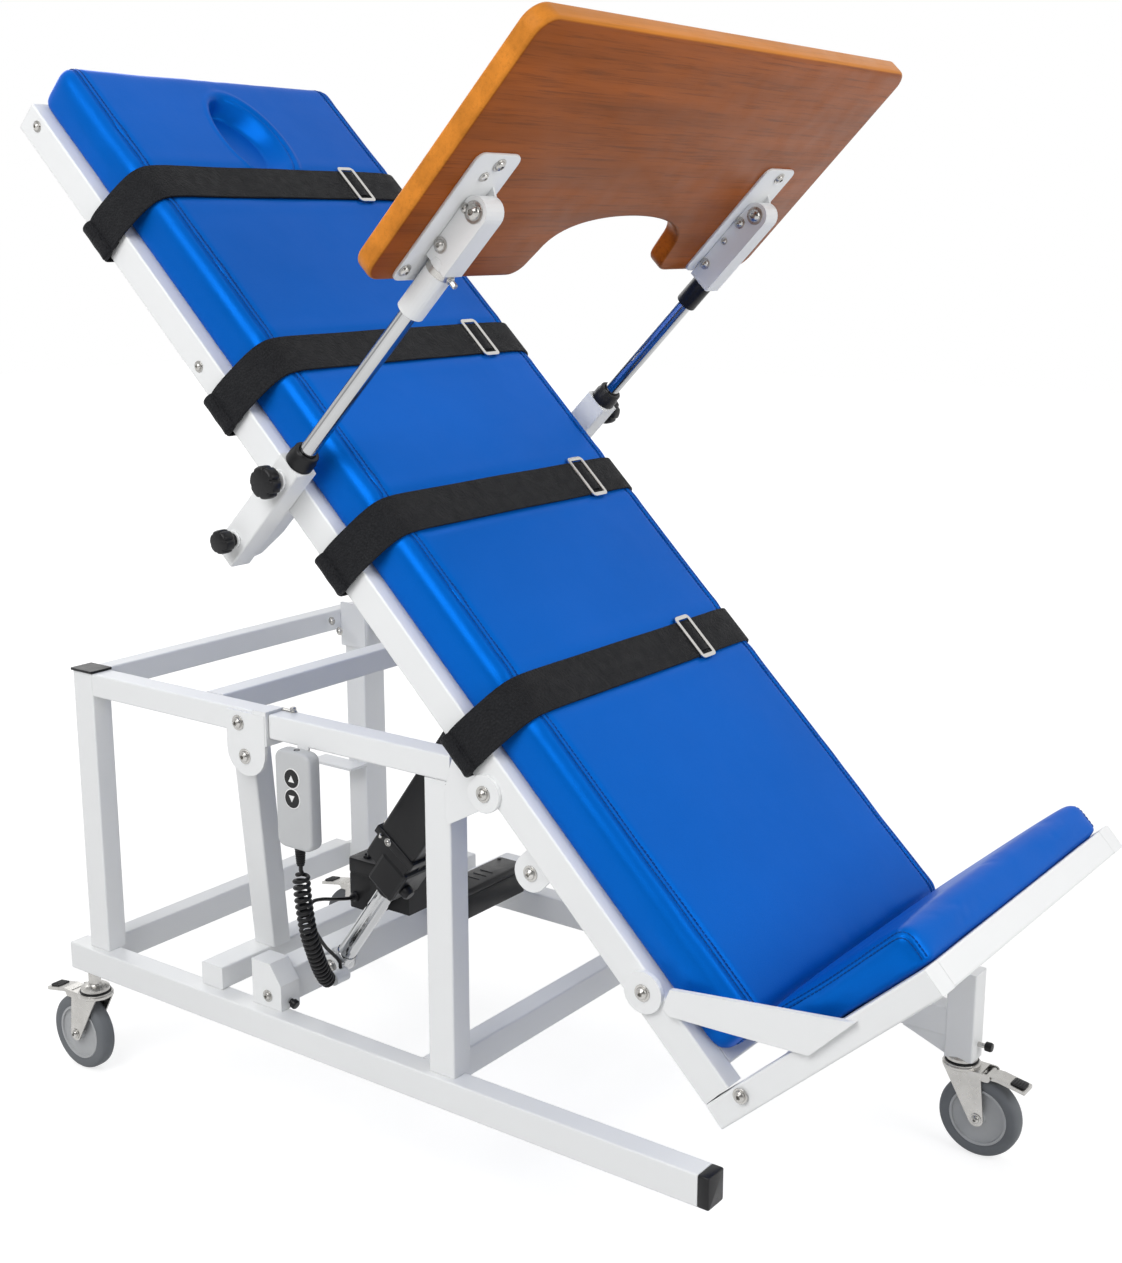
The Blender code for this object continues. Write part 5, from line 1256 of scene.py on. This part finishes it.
class TILTTABLE_OT_straps(bpy.types.Operator):
    """Four grained straps over the mattress, each with its end loops, pressed rims and steel slider"""

    bl_idname = "tilt_table.straps"
    bl_label = "Straps"

    width: FloatProperty(name="Width", description="Width of a strap", default=0.066, unit="LENGTH")

    def execute(self, context):
        half, flat, rim = self.width / 2, sizes().strap_thickness / 2, 0.0010
        right = [(half - rim, -flat), (half, rim - flat), (half, flat - rim), (half - rim, flat)]
        right += [(half - 0.0040, flat), (half - 0.0048, flat - 0.0004), (half - 0.0056, flat)]
        section = mirrored(right)
        span = RAIL_NEAR_Y + RAIL_FAR_Y
        start = STRAP_RISE[-1][0]
        level = [(start + (span - 2 * start) * step / 26, STRAP_TOP) for step in range(1, 26)]
        route = [*STRAP_RISE, *level, *[(span - y, z) for y, z in reversed(STRAP_RISE)]]
        line, _ = smooth_route([(0, y, z) for y, z in route], 150)
        for number, (x, slider_y) in enumerate(zip(STRAP_X, SLIDER_Y), 1):
            band = Form(TOP)
            laid = []
            for _, y, z in line:
                drift, sag = 0.0006 * math.sin(9 * y + number), 0.0004 * math.sin(31 * y)
                laid.append((x + drift, min(y, FAR_STRAP_Y), z + sag))
            band.swept(laid, section)
            near = [(x, y, z) for y, z in STRAP_LOOP]
            far = [(x, min(span - y, FAR_STRAP_Y - 0.0004), z) for y, z in STRAP_LOOP]
            for loop in (near, far):
                band.swept(smooth_route(loop, 22)[0], [(a * 0.97, b) for a, b in section])
            self.roll(band, x)
            self.raised(band, x, slider_y, STRAP_TOP + flat)
            name = f"strap_{number}"
            strap = band.piece(f"{name}_band", "table", "black_webbing", smooth=42, replaces=(name,))
            slider = Form(TOP)
            self.slider(slider, x, slider_y, STRAP_TOP + flat)
            buckle = slider.piece(f"{name}_slider", "table", "zinc_plated_steel", "brushed_steel", smooth=45)
            buckle.parent = strap
        return {"FINISHED"}

    def roll(self, band, x):
        """The fold at the strap's near end, uneven along its width."""
        rings = []
        for along, size in (
            (-1.0, 0.55),
            (-0.97, 0.88),
            (-0.90, 1.0),
            (-0.4, 0.95),
            (0.1, 1.0),
            (0.6, 0.94),
            (0.9, 1.0),
            (0.97, 0.88),
            (1.0, 0.55),
        ):
            place = x + along * self.width / 2
            ring = circle(size, steps=20)
            rings.append([(place, 0.0072 * a - 0.0480, 0.0115 * b + 0.0070) for a, b, _ in ring])
        band.loft(rings)

    def raised(self, band, x, y, top):
        """The strap where it rises over the slider's bar."""
        half = 0.0265
        line = []
        for step in range(13):
            share = step / 6 - 1
            line.append((x, y + 0.0125 * share, top - 0.0004 + 0.0030 * math.cos(share * math.pi / 2)))
        band.swept(line, mirrored([(half, -0.0012), (half + 0.0006, 0), (half, 0.0010)]))

    def slider(self, form, x, y, z):
        """A flat rectangular frame of bent wire."""
        points = [Vector((x + a, y + b, z + 0.0016)) for a, b in rounded(0.0735, 0.0330, 0.0045, 5)]
        wire = [(0.0038 * a, 0.0018 * b) for a, b in arc(0, 0, 1, 30, 330, 5)]
        up = Vector((0, 0, 1))
        rings = []
        for index, point in enumerate(points):
            ahead = (points[(index + 1) % len(points)] - points[index - 1]).normalized()
            across = ahead.cross(up).normalized()
            rings.append([point + across * a + up * b for a, b in wire])
        form.loft(rings, closed=True)


# Small fittings


class TILTTABLE_OT_bolts(bpy.types.Operator):
    """Dome bolts of the rails, lugs, brackets and hook plate"""

    bl_idname = "tilt_table.bolts"
    bl_label = "Bolts"

    def execute(self, context):
        radius = sizes().bolt_radius
        table = Form(TOP)
        for x, y, z, scale in (
            (-1.2747, -0.038, 0.0320, 0.74),
            (-0.7800, -0.038, 0.0200, 0.72),
            (0.0, -0.044, 0.0, 1.0),
            (0.347, -0.044, 0.029, 1.0),
            (0.5265, -0.0405, 0.0613, 0.92),
            (0.119, -0.0045, -0.047, 1.0),
        ):
            table.bolt(moved(x, y, z) @ NEAR_FACE, radius * scale)
        for x, z in ((-1.2747, 0.032), (-0.780, 0.020), (0.347, 0.029), (0.5265, 0.0613)):
            table.bolt(moved(x, 0.590, z) @ FAR_FACE, radius * 0.8)
        table.piece("table_bolts", "table", "zinc_plated_steel")
        base = Form(BASE)
        for x, y, z, scale in (
            (0.4564, 0.0057, 0.7379, 1.05),
            (0.4690, 0.0057, 0.6842, 1.05),
            (0.4822, 0.0210, 0.2708, 0.86),
        ):
            base.bolt(moved(x, y, z) @ NEAR_FACE, radius * scale)
        low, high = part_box("near_top_rail_foot")
        clip = moved(*(BASE.inverted() @ Vector((low.x, high.y - 0.006, high.z))))
        base.slab(0.046, 0.0090, 0.0040, 0.0003, 0.0026, clip @ moved(0.004), 0.0006)
        stud = [(0.0052, 0.0), (0.0052, 0.0050), (0.0040, 0.0062), (0.0010, 0.0062)]
        base.turned(stud, clip @ moved(0.020, 0, 0.0022), 16)
        for x in (0.092, 0.112):
            base.bolt(moved(x, 0.602, 0.745 - 0.9 * (x - 0.092)) @ NEAR_FACE, radius * 0.7)
        base.piece("base_bolts", "base", "zinc_plated_steel")
        return {"FINISHED"}


class TILTTABLE_OT_knobs(bpy.types.Operator):
    """Clamp knobs with notched rims, and the post collars that they tighten"""

    bl_idname = "tilt_table.knobs"
    bl_label = "Knobs"

    def execute(self, context):
        washers = Form(TOP)
        for name, y, z, face, radius, washer in (
            ("near_upper_knob", -0.0783, 0.052, NEAR_FACE, 0.024, 0.0165),
            ("near_lower_knob", -0.0783, -0.082, NEAR_FACE, 0.018, 0.0130),
            ("far_upper_knob", 0.66515, 0.108, FAR_FACE, 0.024, 0.0165),
        ):
            place = moved(POST_X, y, z) @ face
            neck, tip = 0.012, 0.034
            profile = [(0.0100, 0.0), (0.0100, neck), (radius * 0.72, neck), (radius * 0.96, neck + 0.003)]
            profile += [(radius, neck + 0.006), (radius, tip - 0.006), (radius * 0.965, tip - 0.0028)]
            profile += [(radius * 0.88, tip - 0.0006), (radius * 0.80, tip), (radius * 0.10, tip)]
            knob = Form(TOP)
            knob.turned(profile, place, 72, notches=6)
            knob.piece(f"{name}_grip", name, "black_plastic", smooth=50, replaces=(name,))
            rim = [(washer, 0.0), (washer, 0.0030), (washer - 0.0008, 0.0038), (0.0108, 0.0038)]
            washers.turned(rim, place, 36)
        washers.piece("knob_washers", "table", "white_powder_coat")
        collar = [(0.0135, 0.0003), (0.0200, 0.0003), (0.0212, 0.0015), (0.0212, 0.0150)]
        collar += [(0.0195, 0.0180), (0.0195, 0.0250), (0.0180, 0.0268), (0.0135, 0.0268)]
        collars = Form(TOP)
        for y, top in zip(POST_Y, (0.085, 0.138)):
            collars.hollow(collar, moved(POST_X, y, top))
        collars.piece("post_collars", "table", "black_plastic", smooth=40)
        return {"FINISHED"}


def desk_outline():
    """The board in Y and height above its hinge axis, with the belly cut-out on its low edge."""
    near, far, low, high = -0.158, 0.790, DESK_LOW_Z - HINGE_Z, 0.850 - HINGE_Z
    r, wide, deep = 0.030, 0.175, 0.115
    points = arc(far - r, low + r, r, -90, 0, 8)
    points += arc(far - r, high - r, r, 0, 90, 8)
    points += arc(near + r, high - r, r, 90, 180, 8)
    points += arc(near + r, low + r, r, 180, 270, 8)
    points += arc(CUT_OUT_Y - wide - r, low + r, r, -90, -20, 6)
    steps = 36
    for step in range(1, steps):
        angle = math.pi * step / steps
        depth = r + (deep - r) * math.sin(angle) ** 0.62
        points.append((CUT_OUT_Y - math.cos(angle) * (wide - 0.004), low + depth))
    points += arc(CUT_OUT_Y + wide + r, low + r, r, 200, 270, 6)
    return points


class TILTTABLE_OT_desk(bpy.types.Operator):
    """The desk board with its edge band, the hinge plates under it, and their screws and pivots"""

    bl_idname = "tilt_table.desk"
    bl_label = "Desk"

    def execute(self, context):
        hinge = TOP @ moved(POST_X, 0, HINGE_Z)
        upper, under = -0.0550, -0.0250
        mesh = bpy.data.meshes.new("desk_top")
        bm = bmesh.new()
        tops, lows = [[bm.verts.new((x, y, z)) for y, z in desk_outline()] for x in (upper, under)]
        walls = zip(tops, [*tops[1:], tops[0]], [*lows[1:], lows[0]], lows)
        for corners in (*walls, tops, lows):
            bm.faces.new(corners)
        bmesh.ops.recalc_face_normals(bm, faces=bm.faces)
        rims = [edge for edge in bm.edges if abs(edge.verts[0].co.x - edge.verts[1].co.x) < 1e-6]
        bmesh.ops.bevel(bm, geom=rims, offset=0.0055, segments=4, affect="EDGES", profile=0.5)
        bmesh.ops.transform(bm, matrix=hinge, verts=bm.verts)
        bm.to_mesh(mesh)
        bm.free()
        board = settle("desk_top", mesh, "desk", ("desk_wood",), 35, ("desk_board",))
        plates = Form(hinge)
        screws = Form(hinge)
        face = under + 0.004
        for y, plate_y in zip(POST_Y, (-0.108, 0.602)):
            middle = moved(under, plate_y + 0.044, 0.539 - HINGE_Z) @ TOWARDS_FOOT
            plates.slab(0.088, 0.218, 0.014, -0.0004, 0.004, middle, 0.0012)
            ear = [(face - 0.002, -0.024), (0.0, -0.012), *arc(0, 0, 0.012, -80, 80, 8)]
            ear += [(0.0, 0.012), (face - 0.002, 0.024)]
            plates.plate(ear, -y - 0.0225, -y - 0.0185, Matrix.Rotation(math.pi / 2, 4, "X"))
            for side, z, radius in ((0.050, 0.632, 0.0074), (0.036, 0.612, 0.0056), (0.012, 0.450, 0.0074)):
                if y < 0 or z > 0.62:
                    screws.bolt(moved(face, plate_y + side, z - HINGE_Z) @ TOWARDS_FOOT, radius)
        plates.piece("hinge_plates", "desk", "white_powder_coat").parent = board
        screws.piece("hinge_screws", "desk", "zinc_plated_steel").parent = board
        pivots = Form(TOP)
        near, far = POST_Y
        for y, x, z, radius in (
            (near, 0.0, HINGE_Z, 0.0108),
            (near, -0.0135, 0.566, 0.0052),
            (near, -0.0110, 0.504, 0.0080),
            (far, 0.0, HINGE_Z, 0.0104),
            (far, -0.0120, 0.545, 0.0068),
            (far, -0.0120, 0.505, 0.0042),
            (far, -0.0120, 0.455, 0.0066),
        ):
            pivots.bolt(moved(POST_X + x, y - 0.018, z) @ NEAR_FACE, radius)
        clamp = [(0.0058, -0.006), (0.0058, 0.004), (0.0040, 0.0045), (0.0040, 0.013), (0.0032, 0.0145)]
        pivots.turned(clamp, moved(POST_X + 0.0190, near, 0.472) @ TOWARDS_FOOT, 6)
        band = [circle(0.0206, height) for height in (0.467, 0.4675, 0.4765, 0.477)]
        pivots.loft(band, moved(POST_X, near, 0))
        pivots.piece("hinge_pivots", "desk_posts", "zinc_plated_steel")
        sleeve = Form(TOP)
        tube = [(0.0134, 0.3760), (0.0170, 0.3760), (0.0175, 0.3772), (0.0175, 0.4240), (0.0134, 0.4240)]
        sleeve.hollow(tube, moved(POST_X, far, 0))
        sleeve.piece("far_sleeve", "desk_posts", "black_plastic")
        return {"FINISHED"}


class TILTTABLE_OT_handset(bpy.types.Operator):
    """The handset: grey shell, ringed buttons with arrows, ribbed relief and the ring at its top"""

    bl_idname = "tilt_table.handset"
    bl_label = "Handset"

    def execute(self, context):
        x, middle, front, depth = 0.5925, -0.0013, -0.0143, 0.0260
        top, tall, wide = 0.7187, 0.1587, 0.075
        buttons = (("up_button", 0.6760, 1), ("down_button", 0.6435, -1))
        face = BASE @ moved(x, front, 0) @ Matrix.Rotation(math.pi / 2, 4, "X")
        shell = Form(face)
        shell.slab(wide, tall, 0.0150, -depth, 0.0, moved(0, top - tall / 2, 0), 0.0055, steps=4)
        shell.piece("handset_case", "base", "light_grey_plastic", smooth=50, replaces=("handset_body",))
        rings = Form(face)
        ring = [(0.0148, -0.0004), (0.0148, 0.0006), (0.0164, 0.0006), (0.0167, -0.0004)]
        for _, height, _ in buttons:
            rings.hollow(ring, moved(0, height, 0), 40)
        rings.piece("button_rings", "base", "light_grey_plastic", "mark_white")
        for name, height, way in buttons:
            arrow = Form(face)
            half, rise = 0.0062, 0.0108
            points = [(-half, -way * rise / 2), (half, -way * rise / 2), (0.0, way * rise / 2)]
            arrow.plate(points[::way], 0.0014, 0.0018, moved(0, height, 0))
            arrow.piece(f"{name}_arrow", name, "light_grey_plastic", "mark_white")
        relief = Form(BASE)
        profile = [(0.0056, -0.0300), (0.0062, -0.0290)]
        for rib in range(6):
            height, radius = 0.0038 * rib - 0.027, 0.0064 + 0.0003 * rib
            profile += [(radius - 0.0010, height), (radius + 0.0005, height + 0.0006)]
            profile += [(radius + 0.0006, height + 0.0024), (radius - 0.0009, height + 0.0030)]
        profile += [(0.0088, -0.0030), (0.0092, 0.0005), (0.0060, 0.0012)]
        relief.turned(profile, moved(0.592, middle, top - tall), 24)
        hole = [(0.0050, -0.001), (0.0050, 0.0004), (0.0034, 0.0006), (0.0030, -0.0006)]
        relief.turned(hole, moved(x, middle, top), 20)
        relief.piece("handset_relief", "base", "black_plastic")
        return {"FINISHED"}


class TILTTABLE_OT_actuator(bpy.types.Operator):
    """Details of the lifting actuator: motor cover, clamp, gear sleeve, rod end, control box and pins"""

    bl_idname = "tilt_table.actuator"
    bl_label = "Actuator"

    def execute(self, context):
        self.motor()
        self.tube()
        self.pins()
        self.control_box()
        return {"FINISHED"}

    def motor(self):
        motor = Form(BASE)
        x, y, z = 0.520, 0.1803, 0.385
        wide, deep, tall = 0.065, 0.115, 0.088
        cover = moved(x + wide / 2, y + deep / 2, z)
        motor.slab(wide + 0.0004, deep + 0.0004, 0.0065, -0.0002, 0.060, cover, 0.0016)
        motor.slab(wide - 0.0008, deep - 0.0008, 0.0060, 0.0595, 0.0625, cover)
        motor.slab(wide + 0.0014, deep + 0.0014, 0.0070, 0.0620, tall + 0.0010, cover, 0.0030)
        gland = [(0.0090, -0.002), (0.0090, 0.0030), (0.0070, 0.0044), (0.0052, 0.0100), (0.0034, 0.0104)]
        motor.turned(gland, moved(0.5346, y, 0.406) @ NEAR_FACE, 24)
        plug = moved(x + 0.030, y + 0.016, z + tall)
        motor.slab(0.0120, 0.0100, 0.0020, 0.0, 0.0048, plug, 0.0008)
        for side in (-0.004, 0.004):
            motor.turned([(0.0022, 0.0), (0.0022, 0.0078), (0.0012, 0.0082)], plug @ moved(side), 12)
        motor.piece("motor_cover", "actuator_body", "black_plastic", replaces=("motor_box",))

    def tube(self):
        """Boss, clamp and ribs of the housing, its screws, and the rod's eye."""
        clamp_x = 0.292
        trim = Form(ACTUATOR)
        boss = [(0.0225, 0.0), (0.0225, 0.014), (0.0205, 0.0165), (0.0168, 0.0165)]
        trim.turned(boss, moved(0.2065, 0, 0) @ facing((-1, 0, 0)), 36)
        stub = [(0.011, 0.0), (0.011, 0.010), (0.008, 0.014), (0.003, 0.014)]
        trim.turned(stub, moved(0.232, -0.014, -0.030) @ facing((0, 0, -1)), 24)
        for height in (-0.0245, 0.0575):
            trim.slab(0.268, 0.010, 0.0040, -0.0012, 0.0012, moved(0.392, 0, height), 0.0006)
        trim.slab(0.016, 0.0720, 0.0030, -0.0290, 0.0620, moved(clamp_x, 0, 0), 0.0020)
        nut = [(0.0075, 0.0), (0.0075, 0.004), (0.006, 0.006), (0.002, 0.006)]
        trim.turned(nut, moved(clamp_x, 0.020, 0.062), 6)
        trim.piece("actuator_trim", "actuator_body", "black_plastic")
        screws = Form(ACTUATOR)
        wire = ((-0.042, 0.044), (-0.030, 0.052), (-0.010, 0.0655), (0.010, 0.0665))
        screws.tube([(clamp_x, y, z) for y, z in wire], 0.0026)
        screws.bolt(moved(clamp_x, -0.0360, 0.030) @ NEAR_FACE, 0.0050)
        screws.piece("actuator_screws", "actuator_body", "zinc_plated_steel")
        rod = Form(ACTUATOR)
        for face in (NEAR_FACE, FAR_FACE):
            rod.turned([(0.0180, 0.0), (0.0180, 0.0152), (0.0168, 0.0160), (0.0064, 0.0160)], face, 36)
        collar = [(0.0172, 0.0), (0.0176, 0.001), (0.0176, 0.006), (0.0172, 0.007)]
        rod.turned(collar, moved(0.020, 0, 0) @ TOWARDS_FOOT, 36)
        rod.piece("rod_end", "actuator_rod", "polished_chrome")

    def pins(self):
        """Heads of the pins through the ears at the actuator's foot and head."""
        head = (-0.114, ACTUATOR_FOOT[1], -0.050)
        for name, body, form, eye in (
            ("foot_pins", "base", Form(BASE), ACTUATOR_FOOT),
            ("head_pins", "table", Form(TOP), head),
        ):
            for face, way in ((NEAR_FACE, -1), (FAR_FACE, 1)):
                form.bolt(moved(*eye) @ moved(y=way * 0.0232) @ face, 0.0085)
            form.piece(name, body, "zinc_plated_steel")

    def control_box(self):
        box = Form(BASE)
        lid = moved(0.5303, 0.5175, 0.310)
        box.slab(0.0606, 0.1956, 0.0060, -0.0283, 0.0120, lid, 0.0020)
        box.slab(0.0592, 0.1944, 0.0056, 0.0118, 0.0140, lid)
        box.slab(0.0608, 0.1958, 0.0062, 0.0138, 0.0288, lid, 0.0040)
        screw = [(0.0042, 0.0), (0.0042, 0.0012), (0.0034, 0.0018), (0.0008, 0.0010)]
        for dx in (-0.022, 0.022):
            for dy in (-0.086, 0.086):
                box.turned(screw, lid @ moved(dx, dy, 0.0280), 16)
        for dy in (-0.020, 0.0, 0.020):
            box.slab(0.030, 0.0035, 0.0014, 0.0280, 0.0300, lid @ moved(0.0, dy, 0), 0.0006)
        gland = [(0.0085, 0.0), (0.0085, 0.004), (0.0062, 0.012), (0.0040, 0.013)]
        box.turned(gland, moved(0.5303, 0.4200, 0.312) @ NEAR_FACE, 20)
        box.piece("control_case", "base", "black_plastic", replaces=("control_box",))


class TILTTABLE_OT_casters(bpy.types.Operator):
    """Wheels with grey treads and pale hubs, swivel heads, axle bolts and pedal pads"""

    bl_idname = "tilt_table.casters"
    bl_label = "Casters"

    def execute(self, context):
        for name, x, y, turn in CASTERS:
            swivel = BASE @ moved(x, y, 0) @ Matrix.Rotation(turn, 4, "Z")
            axle = moved(-CASTER_TRAIL, 0, WHEEL_RADIUS)
            self.wheel(name, swivel @ axle @ Matrix.Rotation(math.pi / 2, 4, "X"))
            self.head(name, swivel, axle)
            pedal = Form(swivel @ moved(-0.052, 0, 0.1465) @ Matrix.Rotation(math.radians(-8.0), 4, "Y"))
            pedal.slab(0.0250, 0.0270, 0.0050, 0.0036, 0.0062, moved(-0.0490), 0.0010)
            for rib in range(5):
                pedal.slab(0.0022, 0.0230, 0.0008, 0.0060, 0.0070, moved(-0.0580 + 0.0045 * rib), 0.0003)
            pedal.piece(f"{name}_pedal_pad", f"{name}_pedal", "black_plastic")
        leg = moved(1.435, 0.702, 0.192) @ TOWARDS_FOOT
        socket = moved(0.5160, 0.040, 0.2640) @ facing((1, 0, -0.4))
        stud = Form(BASE)
        stud.turned([(0.0042, 0.0), (0.0042, 0.014), (0.0040, 0.015)], leg, 16)
        stud.piece("leg_stud", "base", "zinc_plated_steel")
        grips = Form(BASE)
        grip = [(0.0050, 0.012), (0.0078, 0.0135), (0.0080, 0.022), (0.0068, 0.0245), (0.002, 0.0250)]
        grips.turned(grip, leg, 24)
        grip = [(0.0050, 0.0), (0.0050, 0.004), (0.0078, 0.0055), (0.0080, 0.0120), (0.0066, 0.0140)]
        grips.turned([*grip, (0.002, 0.0144)], socket, 24)
        grips.piece("stud_grips", "base", "black_plastic")
        return {"FINISHED"}

    def head(self, name, swivel, axle):
        """Swivel head with its cups and seal, the axle's bolts and the pedal's rod."""
        top = moved(0, 0, 0.165)
        head = Form(swivel)
        cup = [(0.0300, -0.0155), (0.0318, -0.0140), (0.0318, -0.0100), (0.0290, -0.0086)]
        cup += [(0.0290, -0.0070), (0.0262, -0.0066), (0.012, -0.0066)]
        head.turned(cup, top, 40)
        cap = [(0.0255, 0.0), (0.0262, 0.0012), (0.0255, 0.0055), (0.0200, 0.0090), (0.0130, 0.0100)]
        head.turned([*cap, (0.0112, 0.0120)], top @ moved(z=-0.004), 40)
        for face in (NEAR_FACE, FAR_FACE):
            head.bolt(axle @ face @ moved(z=0.0215), 0.0072)
        head.tube([(-0.040, -0.013, 0.1455), (-0.042, 0.0, 0.1475), (-0.040, 0.013, 0.1455)], 0.0022)
        head.piece(f"{name}_head", name, "zinc_plated_steel")
        seal = Form(swivel)
        rim = [(0.0278, -0.0075), (0.0282, -0.0068), (0.0282, -0.0050), (0.0274, -0.0044), (0.012, -0.0044)]
        seal.turned(rim, top, 40)
        seal.piece(f"{name}_seal", name, "black_plastic")

    def wheel(self, name, axle):
        """Tyre and hub, drawn in radius and half width for a 62.5 mm wheel and grown to this one."""
        grow = WHEEL_RADIUS / 0.0625
        tread = [(0.0445, 0.0135), (0.0480, 0.0148), (0.0560, 0.0150), (0.0590, 0.0136), (0.0612, 0.0108)]
        tread.append((0.0622, 0.0070))
        profile = [*self.one_side(tread), (0.0625, 0.0), *reversed(tread), (0.0435, 0.0)]
        tyre = Form(axle)
        tyre.hollow([(grow * radius, height) for radius, height in profile], steps=72)
        tyre.piece(f"{name}_tyre", f"{name}_wheel", "grey_rubber", smooth=50, replaces=(f"{name}_wheel",))
        boss = [(0.0055, 0.0170), (0.0120, 0.0170), (0.0132, 0.0160), (0.0140, 0.0098)]
        disc = [(0.0175, 0.0084), (0.0370, 0.0092), (0.0398, 0.0106), (0.0408, 0.0142), (0.0436, 0.0146)]
        disc.append((0.0446, 0.0136))
        half = boss + [(grow * radius, height) for radius, height in disc]
        hub = Form(axle)
        hub.hollow([*self.one_side(half), *reversed(half)], steps=64)
        hub.piece(f"{name}_hub", f"{name}_wheel", "grey_rubber", "hub_plastic", smooth=40)

    def one_side(self, half):
        return [(radius, -height) for radius, height in half]


OPERATORS = (
    TILTTABLE_OT_stage,
    TILTTABLE_OT_cords,
    TILTTABLE_OT_frame,
    TILTTABLE_OT_caps,
    TILTTABLE_OT_mattress,
    TILTTABLE_OT_foot_cushion,
    TILTTABLE_OT_straps,
    TILTTABLE_OT_bolts,
    TILTTABLE_OT_knobs,
    TILTTABLE_OT_desk,
    TILTTABLE_OT_handset,
    TILTTABLE_OT_actuator,
    TILTTABLE_OT_casters,
)


class TILTTABLE_PT_panel(bpy.types.Panel):
    """Lists the table's pieces, colours and sizes"""

    bl_idname = "TILTTABLE_PT_panel"
    bl_label = "Tilt Table"
    bl_space_type = "VIEW_3D"
    bl_region_type = "UI"
    bl_category = "Tilt Table"

    def draw(self, context):
        for operator in OPERATORS:
            self.layout.operator(operator.bl_idname)
        for group in (context.scene.tilt_table_colours, context.scene.tilt_table_sizes):
            for name in group.__annotations__:
                self.layout.prop(group, name)


CLASSES = (TiltTableColours, TiltTableSizes, *OPERATORS, TILTTABLE_PT_panel)


def register():
    for item in CLASSES:
        bpy.utils.register_class(item)
    bpy.types.Scene.tilt_table_colours = PointerProperty(type=TiltTableColours)
    bpy.types.Scene.tilt_table_sizes = PointerProperty(type=TiltTableSizes)


def unregister():
    del bpy.types.Scene.tilt_table_sizes
    del bpy.types.Scene.tilt_table_colours
    for item in reversed(CLASSES):
        bpy.utils.unregister_class(item)


def main():
    register()
    for operator in OPERATORS:
        group, name = operator.bl_idname.split(".")
        getattr(getattr(bpy.ops, group), name)()


if __name__ == "__main__":
    main()
